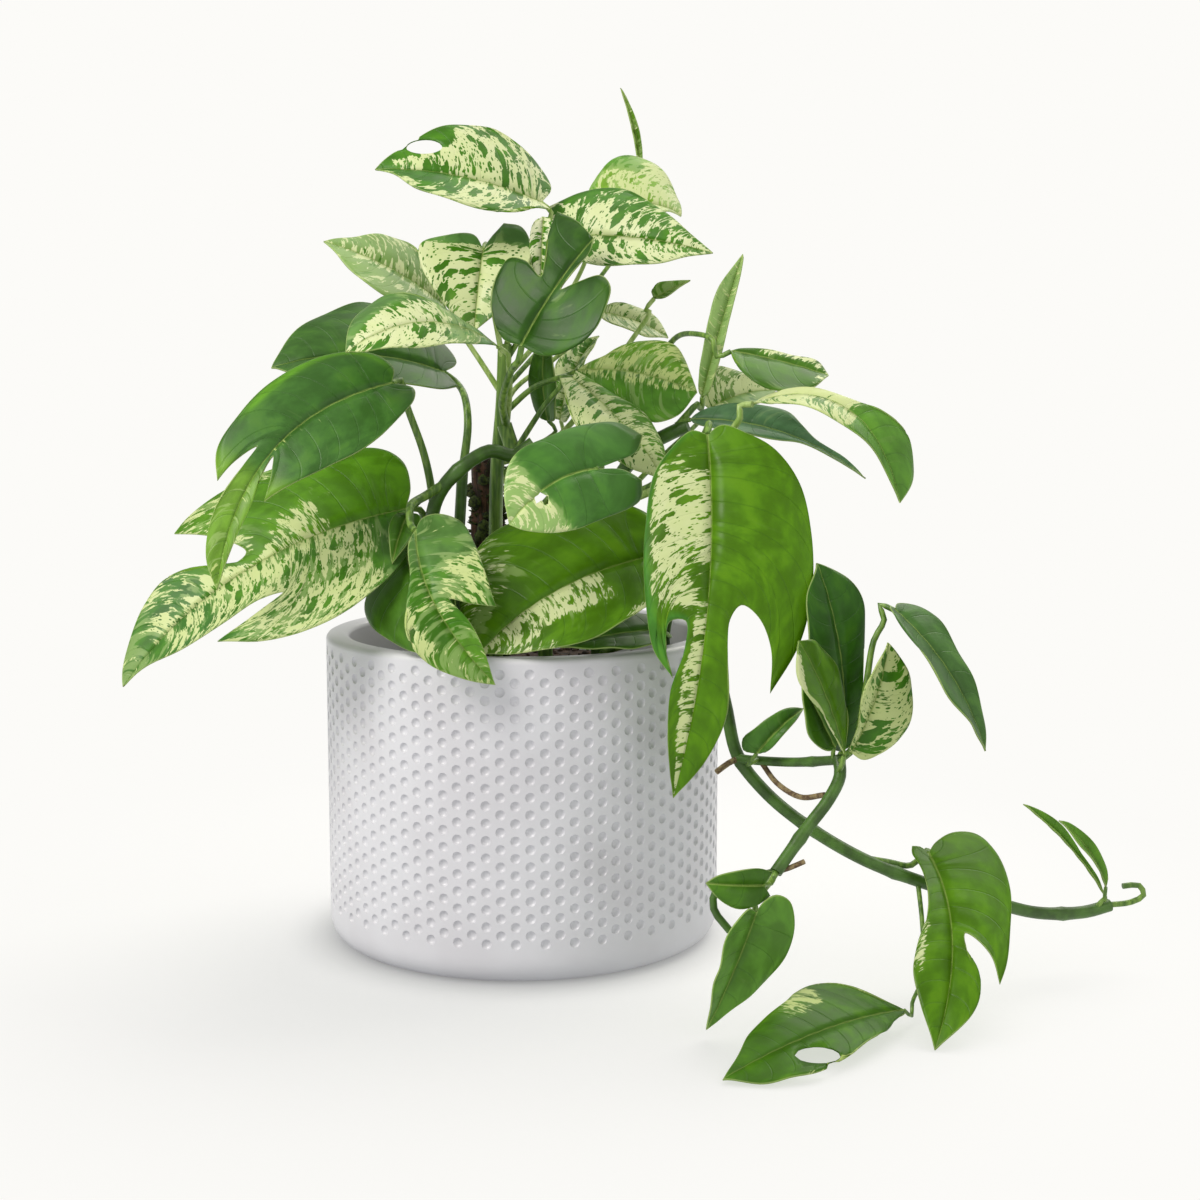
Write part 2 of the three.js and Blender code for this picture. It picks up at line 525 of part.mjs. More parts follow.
/** The margin of one side as rows, each with the place where its vein leaves the midrib. */
function veins(points, length) {
  const step = VEIN.step * length;
  const rows = points.map(([along, across, root = along - VEIN.lag * across, bow = VEIN.bow]) => (
    { along, across, root, bow }));
  rows.forEach((row, i) => { row.root = Math.max(row.root, i ? rows[i - 1].root + step : step); });
  rows.reverse().forEach((row, i) => {
    row.root = Math.min(row.root, i ? rows[i - 1].root - step : length - step);
  });
  return rows.reverse();
}

/** Triangles between two lines of corners, each a list of [corner, how far along it lies]. */
function zipped(a, b) {
  const triangles = [];
  let [i, j] = [0, 0];
  while (i < a.length - 1 || j < b.length - 1) {
    const aNext = i < a.length - 1 ? a[i + 1][1] : Infinity;
    const bNext = j < b.length - 1 ? b[j + 1][1] : Infinity;
    if (aNext <= bNext) {
      triangles.push([a[i][0], a[i + 1][0], b[j][0]]);
      i += 1;
    } else {
      triangles.push([a[i][0], b[j + 1][0], b[j][0]]);
      j += 1;
    }
  }
  return triangles.filter(([p, q, r]) => p !== q && q !== r && r !== p);
}

/** A leaf as a closed sheet, split into triangles alike on both faces. */
function leafGeometry(leaf) {
  const blade = new Blade(leaf);
  const corners = [];
  const corner = (along, across) => corners.push(blade.point(along, across)) - 1;
  const sides = [[1, veins(leaf.left, blade.length)], [-1, veins(leaf.right, blade.length)]];
  const roots = sides.flatMap(([, rows]) => rows.map((row) => row.root)).sort((a, b) => a - b);
  const midrib = [0, ...roots.filter((root, i) => i === 0 || root - roots[i - 1] > 1), blade.length]
    .map((root) => [corner(root, 0), root]);
  const [first, last] = [midrib[0][0], midrib[midrib.length - 1][0]];
  const triangles = [];
  for (const [sign, rows] of sides) {
    const widest = Math.max(...rows.map((row) => row.across));
    const shares = widest > 9 ? [0.5, 1] : [1];
    let inner = midrib;
    for (const t of shares) {
      const line = rows.map(({ along, across, root, bow }) => {
        const x = root + (along - root) * (2 * t * (1 - t) * VEIN.lean + t * t);
        const y = across * (2 * t * (1 - t) * bow + t * t);
        return [corner(x, sign * y), root];
      });
      const outer = [[first, 0], ...line, [last, blade.length]];
      const strip = zipped(inner, outer);
      triangles.push(...(sign > 0 ? strip : strip.map(([p, q, r]) => [p, r, q])));
      inner = outer;
    }
  }
  const sheet = thickened(corners, triangles, BLADE / 2);
  if (!leaf.holes) return sheet;
  const pins = leaf.holes.map((hole) => solid(opening(blade, hole)));
  return geometryOf(pins.reduce((rest, pin) => rest.subtract(pin), solid(sheet)));
}

/** An oval pin that stands through the blade and cuts a hole in it. */
function opening(blade, [along, across, long, wide, turn]) {
  const outline = new THREE.Shape();
  outline.absellipse(0, 0, long, wide, 0, 2 * Math.PI, false, radians(turn));
  const { depth, sides } = HOLE;
  const pin = new THREE.ExtrudeGeometry(outline, { depth, bevelEnabled: false, curveSegments: sides });
  pin.translate(0, 0, -depth / 2);
  const centre = blade.point(along, across);
  const ahead = blade.point(along + 1, across).sub(centre).normalize();
  const normal = ahead.clone().cross(blade.point(along, across + 1).sub(centre)).normalize();
  const frame = new THREE.Matrix4().makeBasis(ahead, normal.clone().cross(ahead), normal);
  return pin.applyMatrix4(frame.setPosition(centre));
}

/** A sheet of triangles given a thickness, closed all round its edge. */
function thickened(corners, triangles, half) {
  const sheet = new THREE.BufferGeometry().setFromPoints(corners);
  sheet.setIndex(triangles.flat());
  sheet.computeVertexNormals();
  const normal = new THREE.Vector3();
  const faces = [1, -1].map((side) => corners.map((point, i) => (
    point.clone().addScaledVector(normal.fromBufferAttribute(sheet.attributes.normal, i), side * half))));
  const count = corners.length;
  const edges = new Set(triangles.flatMap(([a, b, c]) => [`${a},${b}`, `${b},${c}`, `${c},${a}`]));
  const walls = [...edges].map((edge) => edge.split(',').map(Number))
    .filter(([a, b]) => !edges.has(`${b},${a}`));
  const index = [
    ...triangles,
    ...triangles.map(([a, b, c]) => [count + a, count + c, count + b]),
    ...walls.flatMap(([a, b]) => [[a, count + a, b], [b, count + a, count + b]]),
  ];
  const geometry = new THREE.BufferGeometry().setFromPoints(faces.flat());
  geometry.setIndex(index.flat());
  return geometry;
}

/** The pot: a turned wall with a rounded rim and foot, and a staggered net of dimples in its side. */
function potGeometry() {
  const { radius, height, innerRadius, floor, rim, footRound, footFlat } = POT;
  const arc = (x, z, r, from, to, count) => Array.from({ length: count + 1 }, (_, i) => {
    const angle = radians(from + (to - from) * i / count);
    return new THREE.Vector2(x + r * Math.cos(angle), z + r * Math.sin(angle));
  });
  const profile = [
    new THREE.Vector2(0, 0), new THREE.Vector2(footFlat, 0),
    ...arc(radius - footRound, footRound, footRound, -70, 0, 3),
    ...arc(radius - rim, height - rim, rim, 0, 180, 4), new THREE.Vector2(innerRadius, floor),
    new THREE.Vector2(0, floor),
  ];
  const turned = new THREE.LatheGeometry(profile, DIMPLES.facets);
  turned.rotateX(Math.PI / 2);
  const dimples = Array.from({ length: DIMPLES.columns * DIMPLES.rows }, (_, i) => solid(dimple(i)));
  return geometryOf(solid(turned).subtract(wasm.Manifold.union(dimples)));
}

/** One dimple's cutter: a shallow cone that points into the wall, in the middle of a facet of the pot. */
function dimple(number) {
  const { facets, columns, rows, bottom, pitch, radius, depth, sides } = DIMPLES;
  const column = Math.floor(number / rows);
  const wall = POT.radius * Math.cos(Math.PI / facets);
  const cone = new THREE.ConeGeometry(2 * radius, 2 * depth, sides);
  cone.rotateZ(Math.PI / 2);
  cone.translate(wall, 0, bottom + pitch * (number % rows + (column % 2) / 2));
  return cone.rotateZ(2 * Math.PI * column / columns + Math.PI / facets);
}

/** The soil fills the pot and has a plain hole for each stem that stands in it. */
function soilGeometry() {
  const reach = POT.innerRadius - SOIL.gap;
  const profile = [
    new THREE.Vector2(0, POT.floor + SOIL.gap), new THREE.Vector2(reach, POT.floor + SOIL.gap),
    new THREE.Vector2(reach, SOIL.level - SOIL.crown), new THREE.Vector2(reach * 0.7, SOIL.level),
    new THREE.Vector2(0, SOIL.level + SOIL.crown),
  ];
  const turned = new THREE.LatheGeometry(profile, 32);
  turned.rotateX(Math.PI / 2);
  const bores = Object.values(VINES).map(({ stems: [main] }) => bore(main.route, main.radius + 2 * GAP));
  const pole = new THREE.CylinderGeometry(POLE.radius + GAP, POLE.radius + GAP, SOIL.level, 16);
  pole.rotateX(Math.PI / 2);
  pole.translate(POLE.x, POLE.y, POLE.foot - GAP + SOIL.level / 2);
  return geometryOf([...bores, pole].map(solid).reduce((rest, hole) => rest.subtract(hole), solid(turned)));
}

/** A hole that follows a stem from just under its foot to above the soil. */
function bore(route, radius) {
  const [foot, next] = route.map(vector);
  const way = next.clone().sub(foot).normalize();
  const start = foot.clone().addScaledVector(way, -1);
  const path = new THREE.LineCurve3(start, foot.clone().addScaledVector(way, SOIL.level));
  const section = new THREE.Shape();
  section.absarc(0, 0, radius * 1.15, 0, 2 * Math.PI);
  return new THREE.ExtrudeGeometry(section, { extrudePath: path, steps: 1, curveSegments: 5 });
}

/** The support: a stub of coir and moss with a ragged top. */
function poleGeometry() {
  const { x, y, radius, foot, top, rise } = POLE;
  const heights = [foot, 100, 125, 145, 160, 172, 184, 194, top];
  const profile = [
    new THREE.Vector2(0, foot),
    ...heights.map((z) => new THREE.Vector2(radius, z)),
    new THREE.Vector2(0, top + rise),
  ];
  const stub = new THREE.LatheGeometry(profile, 12);
  stub.rotateX(Math.PI / 2);
  const position = stub.attributes.position;
  for (let i = 0; i < position.count; i += 1) {
    const [px, py, pz] = [position.getX(i), position.getY(i), position.getZ(i)];
    const turn = Math.atan2(py, px);
    const bark = 1 + Math.sin(3 * turn + pz) * Math.cos(2 * turn - 0.7 * pz);
    const rough = pz > SOIL.level ? 1 - 0.14 * bark : 1;
    position.setXYZ(i, x + px * rough, y + py * rough, pz);
  }
  return closed(stub);
}

const sidesOf = (radius) => (radius < 2 ? STALK_SIDES : VINE_SIDES);

/** Stems and the stalks that grow from them, as one grown body. */
function grown(stems, stalks) {
  const tubes = stems.map(({ route, radius }) => tube(route.map(vector), radius, sidesOf(radius)));
  for (const [name, { route, radius, direct }] of Object.entries(stalks)) {
    const seat = new Blade(LEAVES[name]).seat(radius).slice(direct ? 1 : 0);
    tubes.push(tube([...route.map(vector), ...seat], radius, STALK_SIDES));
  }
  return joined(tubes);
}

function mesh(name, geometry, finish) {
  geometry.computeVertexNormals();
  const piece = new THREE.Mesh(geometry, new THREE.MeshStandardMaterial(COLOURS[finish]));
  piece.name = name;
  return piece;
}

const plant = new THREE.Group();
plant.add(mesh('pot', potGeometry(), 'glaze'));
plant.add(mesh('soil', soilGeometry(), 'soil'));
plant.add(mesh('moss_pole', poleGeometry(), 'moss'));
for (const [name, { stems, stalks }] of Object.entries(VINES)) {
  plant.add(mesh(name, grown(stems, stalks), 'stem'));
}
for (const [name, leaf] of Object.entries(LEAVES)) {
  plant.add(mesh(`leaf_${name}`, leafGeometry(leaf), leaf.finish));
}

export default plant;
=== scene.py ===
"""Potted marble king pothos: marbled, glossy leaves, green vines and a dimpled pot around the CAD frame."""

import logging
import math
import random
from collections.abc import Iterator
from dataclasses import dataclass
from enum import Enum

import bmesh
import bpy
from bmesh.types import BMEdge, BMesh, BMLoop, BMVert
from bpy.types import Curve, Material, Mesh, Node, NodeSocket, NodeTree, Object
from mathutils import Matrix, Vector


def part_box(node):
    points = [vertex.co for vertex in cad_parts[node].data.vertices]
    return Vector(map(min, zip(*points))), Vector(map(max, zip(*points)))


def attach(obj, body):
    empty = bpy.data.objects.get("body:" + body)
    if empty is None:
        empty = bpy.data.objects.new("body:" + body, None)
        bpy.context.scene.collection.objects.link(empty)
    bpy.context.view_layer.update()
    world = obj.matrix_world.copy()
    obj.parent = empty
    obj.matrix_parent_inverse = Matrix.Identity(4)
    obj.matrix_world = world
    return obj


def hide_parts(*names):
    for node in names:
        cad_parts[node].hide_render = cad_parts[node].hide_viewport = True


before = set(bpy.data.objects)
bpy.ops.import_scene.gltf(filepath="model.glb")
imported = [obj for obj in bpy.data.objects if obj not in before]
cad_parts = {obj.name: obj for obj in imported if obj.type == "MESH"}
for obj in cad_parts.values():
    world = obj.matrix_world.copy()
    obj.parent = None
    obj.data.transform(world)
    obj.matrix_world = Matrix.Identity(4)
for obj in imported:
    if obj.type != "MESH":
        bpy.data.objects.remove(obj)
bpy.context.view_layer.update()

log = logging.getLogger("pothos")

MM = 0.001
BACKDROP = "fcfbf8"

# The way that a leaf's upper side turns when nothing else turns it: up and towards the light.
FACING = Vector((0.0, -0.6, 0.8))
# The side veins stand this far apart in mm.
VEIN_PITCH = 8.0

Point = tuple[float, float, float]
Numbers = tuple[float, ...]
Colour = tuple[float, float, float, float]


def linear(hex_colour: str) -> Colour:
    """Turn the six digits of an sRGB colour into the linear colour that a shader takes."""
    parts = [int(hex_colour[i : i + 2], 16) / 255 for i in (0, 2, 4)]
    return (*(c / 12.92 if c <= 0.04045 else ((c + 0.055) / 1.055) ** 2.4 for c in parts), 1.0)


def smoothstep(low: float, high: float, value: float) -> float:
    """Rise smoothly from 0 at low to 1 at high."""
    share = min(max((value - low) / (high - low), 0.0), 1.0)
    return share * share * (3 - 2 * share)


def mix(a: float, b: float, share: float) -> float:
    """Return the value that lies share of the way from a to b."""
    return a + (b - a) * share


class Side(Enum):
    """The side of the midrib that a patch lies on, seen from the base, as the sign of that side."""

    LEFT = 1
    RIGHT = -1
    BOTH = 0


class Skin(Enum):
    """The skin that a stem wears, as the number of its material."""

    VINE = 0
    STALK = 1
    ROOT = 2
    PALE = 3


class Green(Enum):
    """The tissue of a leaf: its sRGB colour, how much light passes through it, and its slot."""

    # The middle number also sets how strongly a leaf's painted backlight shows in the skin's mottle.
    DARK = ("447218", 0.10, "leaf_dark")
    FRESH = ("4e7e04", 0.26, "leaf_green")
    MARBLED = ("437c14", 0.17, "leaf_marbled")

    def __init__(self, colour: str, glow: float, slot: str) -> None:
        """Name the three values."""
        self.colour, self.glow, self.slot = colour, glow, slot


@dataclass(frozen=True)
class Patch:
    """A soft-edged area of a leaf where its marbling differs.

    Args:
        side: the side of the midrib that it lies on.
        along: from and to, as shares of the blade's length.
        across: from and to, as shares of the way from the midrib to the margin.
        cream, sage, fleck: the amounts inside the patch, or None to leave them.
        green: the tissue's own colour inside the patch, or None to leave it.
    """

    side: Side
    along: tuple[float, float]
    across: tuple[float, float] = (0.0, 1.0)
    cream: float | None = None
    sage: float | None = None
    fleck: float | None = None
    green: str | None = None

    def weight(self, u: float, t: float) -> float:
        """Tell how far a place lies inside.

        Args:
            u: the place's share of the blade's length.
            t: its share of the way from the midrib to the margin.

        Returns:
            A weight from 0 outside to 1 inside.
        """
        soft_along, soft_across = 0.05, 0.1
        low, high = self.along
        inside = smoothstep(low - soft_along, low + soft_along, u)
        inside *= 1 - smoothstep(high - soft_along, high + soft_along, u)
        near, far = self.across
        if near > 0:
            inside *= smoothstep(near - soft_across, near + soft_across, t)
        if far < 1:
            inside *= 1 - smoothstep(far - soft_across, far + soft_across, t)
        return inside


@dataclass(frozen=True)
class Look:
    """How much of a leaf is cream, pale sage and fleck, from 0 to 1, and how yellow its cream is.

    A green takes the place of the tissue's own colour, and the patches change the leaf from place to place.
    """

    cream: float = 0.0
    sage: float = 0.15
    fleck: float = 0.0
    warm: float = 0.4
    green: str | None = None
    patches: tuple[Patch, ...] = ()

    def at(self, tissue: Green, u: float, t: float, sign: int) -> tuple[Numbers, Numbers]:
        """Give the look of one place.

        Args:
            tissue: the leaf's tissue.
            u: the place's share of the blade's length.
            t: its share of the way from the midrib to the margin.
            sign: 1 on the left of the midrib, -1 on the right.

        Returns:
            The linear colour with the light that passes through, and cream, sage, fleck and warmth.
        """
        tone = linear(self.green or tissue.colour)
        amounts = {"cream": self.cream, "sage": self.sage, "fleck": self.fleck}
        for patch in self.patches:
            if patch.side.value == -sign:
                continue
            inside = patch.weight(u, t)
            for name, value in amounts.items():
                if getattr(patch, name) is not None:
                    amounts[name] = mix(value, getattr(patch, name), inside)
            if patch.green:
                tone = tuple(mix(a, b, inside) for a, b in zip(tone, linear(patch.green)))
        return (*tone[:3], tissue.glow), (*amounts.values(), self.warm)


@dataclass(frozen=True)
class Leaf:
    """One leaf, in mm and degrees.

    Args:
        green: its tissue.
        base, tip: where its stalk joins it, and its tip.
        left, right: the margin of each half. A point is (along, across) on the flat blade. A third number is
            where the vein to it leaves the midrib, a fourth how far that vein bows out.
        roll: its turn about its own length.
        arch, sweep: how far the middle of the midrib bends up and to the left.
        fold: how far each half, or the left and the right one, stands up from flat.
        curl: how far a half bends down again over 30 mm.
        hook: how far the tip hangs down.
        wave: the height of the margin's waves.
        holes: each (along, across, half its length, half its width, its turn).
        look: its marbling.
    """

    green: Green
    base: Point
    tip: Point
    left: tuple[Numbers, ...]
    right: tuple[Numbers, ...]
    roll: float = 0.0
    arch: float = 0.0
    sweep: float = 0.0
    fold: float | tuple[float, float] = 10.0
    curl: float = 0.0
    hook: float = 0.0
    wave: float = 0.7
    holes: tuple[Numbers, ...] = ()
    look: Look = Look()


@dataclass(frozen=True)
class Tube:
    """A stem or stalk: its radius in mm, the points that it passes through, and its skin.

    A direct one runs straight into its leaf's base. Any other comes to it from below.
    """

    radius: float
    route: tuple[Point, ...]
    skin: Skin = Skin.STALK
    direct: bool = False


@dataclass(frozen=True)
class Vine:
    """The stems of one vine and the stalks that grow from them, by leaf.

    The vine's green stem has the slim share of its CAD radius in the photo.
    """

    stems: tuple[Tube, ...]
    stalks: dict[str, Tube]
    slim: float = 1.0


# Every green, every amount and every route below is judged from the photo.
LEAVES = {
    "top_left": Leaf(
        Green.MARBLED, (9, -6, 315), (-60, -14, 328), roll=-5, arch=8, sweep=4, fold=15, curl=15,
        left=((-2, 5), (9, 12), (20, 21), (34, 23), (49, 17), (62, 6)),
        right=((-5, 11), (0, 20), (9, 27), (23, 32), (40, 30), (54, 21.5), (65, 9)),
        holes=((53, -13.2, 7.7, 4.4, 5),),
        look=Look(0.9, 0.15, 1.05, warm=0.45, patches=(
            Patch(Side.RIGHT, (0.58, 0.9), (0.45, 1), cream=0.05, sage=0.1),
            Patch(Side.RIGHT, (0.4, 0.9), (0, 0.35), cream=0.55),
            Patch(Side.LEFT, (0.5, 0.97), (0, 0.75), cream=0.25, green="3f7a1c"),
            Patch(Side.BOTH, (0.9, 1.05), cream=0.25),
        )),
    ),
    "top_right": Leaf(
        Green.MARBLED, (19, -4, 301), (80, -26, 293), roll=15, arch=4, fold=15, curl=10,
        left=((-7, 6), (-12, 16), (1, 22), (19, 23), (37, 16), (54, 6)),
        right=((-4, 8), (8, 16), (22, 20), (33, 20), (45, 15), (58, 6)),
        look=Look(0.72, 0.2, 0.95, warm=0.35, patches=(
            Patch(Side.LEFT, (0, 1), (0.5, 1), cream=0.42, sage=0.3, green="4a7f2c"),
            Patch(Side.RIGHT, (0.75, 1.05), (0, 0.6), cream=0.4),
        )),
    ),
    "top_pale": Leaf(
        Green.MARBLED, (34, 34, 313), (70, 44, 313), arch=6, fold=15, curl=10,
        left=((-2, 12), (6, 24), (17, 33), (26, 30), (34, 20), (37, 9)),
        right=((-1, 7), (10, 13), (24, 10)),
        look=Look(0.62, 0.7, 0.6, warm=0.6, green="7dab34", patches=(
            Patch(Side.LEFT, (-0.1, 0.6), (0.55, 1), cream=0.1, green="5f9a2e"),
        )),
    ),
    "spear": Leaf(
        Green.FRESH, (52, 68, 333), (43, 68, 372), arch=-1, sweep=-2.5, fold=30, curl=10,
        left=((8, 1.4), (18, 1.8), (28, 1.3)),
        right=((8, 1.5), (18, 2), (28, 1.5)),
        look=Look(0.25, 0.5, 0.2),
    ),
    "top_folded": Leaf(
        Green.MARBLED, (10, -20, 308), (9, -26, 282), arch=2, curl=10,
        left=((3, 5), (14, 4), (23, 3)),
        right=((4, 4), (14, 5), (23, 3)),
        look=Look(0.8, 0.2, 0.9, warm=0.1),
    ),
    "heart": Leaf(
        Green.DARK, (2, -54, 255), (31, -42, 298), arch=3, fold=8, curl=5,
        left=((-1, 8), (4, 16), (12, 22), (21, 25), (29, 25), (31, 18), (28, 8), (36, 11), (46, 17),
            (56, 21), (56, 11)),
        right=((0, 11), (5, 20), (17, 28, 4), (28, 27, 8), (36, 23, 11), (39, 15, 15), (32, 7, 19),
            (27, 3, 23), (36, 3, 33), (47, 3, 44)),
        look=Look(0, 0, warm=0.9, patches=(
            Patch(Side.BOTH, (-0.5, 1.05), green="2a520e"),
            Patch(Side.RIGHT, (0.05, 0.7), (0.2, 0.8), sage=0.2, green="305c14"),
        )),
    ),
    "left_high": Leaf(
        Green.MARBLED, (-34, 6, 273), (-83, -6, 299), arch=6, sweep=3, curl=15,
        left=((0, 8), (8, 14), (17, 17), (26, 21), (34, 20), (45, 11.5), (53, 4)),
        right=((2, 6), (12, 13), (22, 20), (35, 17), (50, 6)),
        look=Look(0.48, 0.85, 0.2, patches=(
            Patch(Side.LEFT, (0.1, 1), (0.2, 1), cream=0.3, sage=0.8, green="6f9c4a"),
            Patch(Side.RIGHT, (0, 1), (0.3, 1), cream=0.4, sage=0.85, green="6f9a58"),
        )),
    ),
    "left_veined": Leaf(
        Green.MARBLED, (-15, -18, 295), (-18, -34, 261), arch=3, fold=15, curl=15,
        left=((-7, 3), (-14, 7), (-11, 15), (3, 21), (16, 19), (28, 12)),
        right=((-6, 5), (-3, 17), (2, 26), (11, 25), (20, 20), (31, 10)),
        look=Look(0.88, 0.3, 0.9, warm=0.45, patches=(
            Patch(Side.BOTH, (-0.5, 0.02), (0.45, 1), cream=0.05, sage=0.25, green="5c8a48"),
            Patch(Side.BOTH, (0.62, 1.05), cream=0.62, sage=0.5, green="55862c"),
        )),
    ),
    "left_marbled": Leaf(
        Green.MARBLED, (-8, -40, 255), (-67, -62, 254), arch=12, fold=5, curl=20, hook=2,
        left=((8, 6), (22, 14), (38, 16), (50, 12), (58, 6)),
        right=((8, 2), (17, 6), (26, 14), (36, 21), (45, 23), (54, 18), (60, 9)),
        look=Look(0.72, 0.4, 0.9, patches=(
            Patch(Side.RIGHT, (0.2, 1.05), (0.5, 1), cream=0.08, sage=0.4, green="5f8c44"),
            Patch(Side.BOTH, (-0.1, 0.38), cream=0.38, sage=0.85, green="6a965a"),
        )),
    ),
    "left_dark": Leaf(
        Green.DARK, (-34, 10, 244), (-106, -8, 246), arch=8, curl=15,
        left=((-5, 8), (5, 17), (22, 21), (45, 18), (56, 13), (66, 9)),
        right=((-6, 9), (0, 22), (14, 33), (31, 38), (42, 34), (55, 25), (66, 14)),
        look=Look(0, 0.1, green="3a6422"),
    ),
    "left_cut": Leaf(
        Green.DARK, (-51, -44, 240), (-115, -92, 162), roll=-10, arch=12, sweep=-14, curl=20, hook=2,
        left=((-6, 5), (-4, 11), (5, 18), (18, 24), (32, 26), (47, 23), (61, 18), (77, 10, 44),
            (66, 7, 50), (58, 2, 55), (68, 3, 64), (80, 5, 74), (92, 4, 86), (104, 2, 98)),
        right=((-3, 6), (-1, 13), (5, 19), (17, 23), (34, 23), (52, 21), (66, 19, 38), (76, 12, 44),
            (67, 10, 49), (58, 6, 54), (70, 6, 64), (88, 8, 80), (102, 6, 94)),
        look=Look(0, 0.12, warm=0.9, patches=(
            Patch(Side.BOTH, (-0.5, 0.62), green="3e6c28"),
            Patch(Side.RIGHT, (0, 0.45), (0.72, 0.95), cream=0.2, green="5f9a20"),
            Patch(Side.BOTH, (0.3, 0.6), (0, 0.15), cream=0.25),
            Patch(Side.BOTH, (0.6, 1.05), cream=0.22, sage=0.3, green="6f9c30"),
        )),
    ),
    "left_long": Leaf(
        Green.MARBLED, (-47, -34, 188), (-161, -60, 119), arch=10, sweep=-8, curl=12, hook=2,
        left=((-2, 5), (0, 14), (4, 25), (14, 36), (32, 45), (48, 48), (64, 46), (80, 39, 34),
            (95, 25, 40, 1.7), (78, 26, 47, 1.3), (60, 24, 52), (70, 21, 60), (88, 20, 76), (108, 14, 98),
            (125, 4, 120)),
        right=((-4, 10), (-4, 26), (4, 38), (22, 44), (42, 47), (61, 47), (76, 44, 34), (84, 40, 42),
            (72, 24, 50), (65, 8, 58), (71, 6, 65), (84, 14, 74), (96, 21, 80), (109, 18, 94),
            (121, 12, 112), (130, 6, 124)),
        look=Look(0.05, warm=0.6, patches=(
            Patch(Side.RIGHT, (-0.5, 0.62), green="548a0e"),
            Patch(Side.RIGHT, (0.28, 0.62), (0.7, 1), cream=0.42, sage=0.4, fleck=0.3),
            Patch(Side.RIGHT, (0.22, 0.68), (0, 0.28), cream=0.6, fleck=0.5),
            Patch(Side.LEFT, (0.1, 0.68), cream=0.54, sage=0.5, fleck=0.7),
            Patch(Side.LEFT, (-0.2, 0.12), (0.2, 1), cream=0.12, sage=0.3, green="55803a"),
            Patch(Side.BOTH, (0.64, 0.84), cream=0.5, sage=0.35, fleck=0.8, green="3f7628"),
            Patch(Side.BOTH, (0.86, 1.05), cream=0.3, sage=0.6, fleck=0.4, green="4c8030"),
        )),
    ),
    "left_small": Leaf(
        Green.DARK, (-45, -48, 187), (-50, -62, 168), arch=2, fold=20,
        left=((1, 5), (5, 8), (12, 7)),
        right=((2, 4), (9, 5), (16, 3)),
        look=Look(0, 0.2),
    ),
    "rim_dark": Leaf(
        Green.DARK, (-46, -44, 173), (-27, -84, 137), roll=40, arch=5, fold=5, curl=10, hook=2,
        left=((1, 8), (10, 14), (25, 17), (42, 15), (54, 7)),
        right=((-1, 9), (4, 18), (14, 26), (26, 25), (38, 20), (50, 12)),
        look=Look(0, 0.1),
    ),
    "rim_cut": Leaf(
        Green.MARBLED, (-40, -66, 182), (-7, -96, 126), roll=10, arch=8, sweep=-8, curl=15, hook=4,
        left=((-5, 3), (-6, 10), (-1, 19), (13, 23), (33, 23), (50, 20, 24), (43, 13, 28), (36, 6, 32),
            (48, 8, 42), (60, 6, 55)),
        right=((7, 3), (22, 5), (34, 11), (43, 16), (52, 15), (63, 8)),
        holes=((42.3, -13.6, 3, 1.3, -32),),
        look=Look(0.28, 0.4, 0.3, warm=0.7, patches=(
            Patch(Side.BOTH, (-0.2, 0.25), cream=0.1, sage=0.3, green="55803a"),
            Patch(Side.LEFT, (0.22, 0.55), (0.25, 1), cream=0.5, sage=0.6),
            Patch(Side.RIGHT, (0.45, 0.75), (0.4, 1), cream=0.65, sage=0.5),
            Patch(Side.BOTH, (0.72, 1.05), cream=0.3, green="5f9626"),
        )),
    ),
    "centre_round": Leaf(
        Green.DARK, (32, -74, 207), (-1, -98, 187), roll=-30, arch=3, sweep=-4, fold=5, curl=25,
        left=((-11, 2), (-18, 7), (-15, 15), (-5, 19), (10, 21), (26, 20), (38, 14), (44, 6)),
        right=((-9, 2), (-20, 5), (-26, 12), (-18, 19), (-5, 20), (12, 18), (27, 17), (38, 9)),
        holes=((29.5, 3, 3.4, 2.4, -35),),
        look=Look(0, 0.1, warm=0.5, patches=(
            Patch(Side.BOTH, (-0.5, 0.62), green="467a2c"),
            Patch(Side.BOTH, (0.6, 1.05), cream=0.45, sage=0.85, green="78a850"),
        )),
    ),
    "centre_wide": Leaf(
        Green.FRESH, (54, -50, 170), (-15, -80, 136), arch=4, sweep=-4, curl=15, hook=3,
        left=((-3, 10), (4, 20), (16, 28), (30, 31), (44, 31), (60, 26), (74, 13)),
        right=((-8, 8), (-8, 22), (0, 34), (14, 41), (30, 44), (46, 44), (61, 36), (74, 20)),
        look=Look(0, 0.12, patches=(
            Patch(Side.RIGHT, (0.55, 1), (0.3, 1), cream=0.32, sage=0.4),
            Patch(Side.LEFT, (0.28, 1), (0, 0.42), cream=0.58, sage=0.4, fleck=0.4),
            Patch(Side.LEFT, (0, 0.3), (0.62, 1), cream=0.52, fleck=0.3),
            Patch(Side.LEFT, (0.7, 1.05), cream=0.5, fleck=0.3),
        )),
    ),
    "low_dark": Leaf(
        Green.DARK, (59, -52, 140), (18, -78, 137), arch=2, fold=5, curl=10,
        left=((3, 6), (12, 10), (28, 9), (40, 5)),
        right=((0, 8), (12, 12), (25, 10), (38, 6)),
        look=Look(0, 0.1),
    ),
    "big_cut": Leaf(
        Green.FRESH, (76, -66, 220), (62, -92, 79), arch=12, sweep=7, fold=5, curl=15, hook=2,
        left=((-3, 6), (1, 15), (8, 26), (21, 35), (38, 39), (58, 40), (78, 37, 34), (98, 28, 42, 1.3),
            (82, 26, 49, 1.15), (71, 20, 55), (67, 13, 60), (73, 9, 67), (88, 10, 82), (108, 13, 98),
            (126, 9, 118)),
        right=((-2, 6), (3, 13), (15, 22), (38, 26), (55, 26), (70, 24, 38), (88, 19, 46), (98, 10, 52, 3),
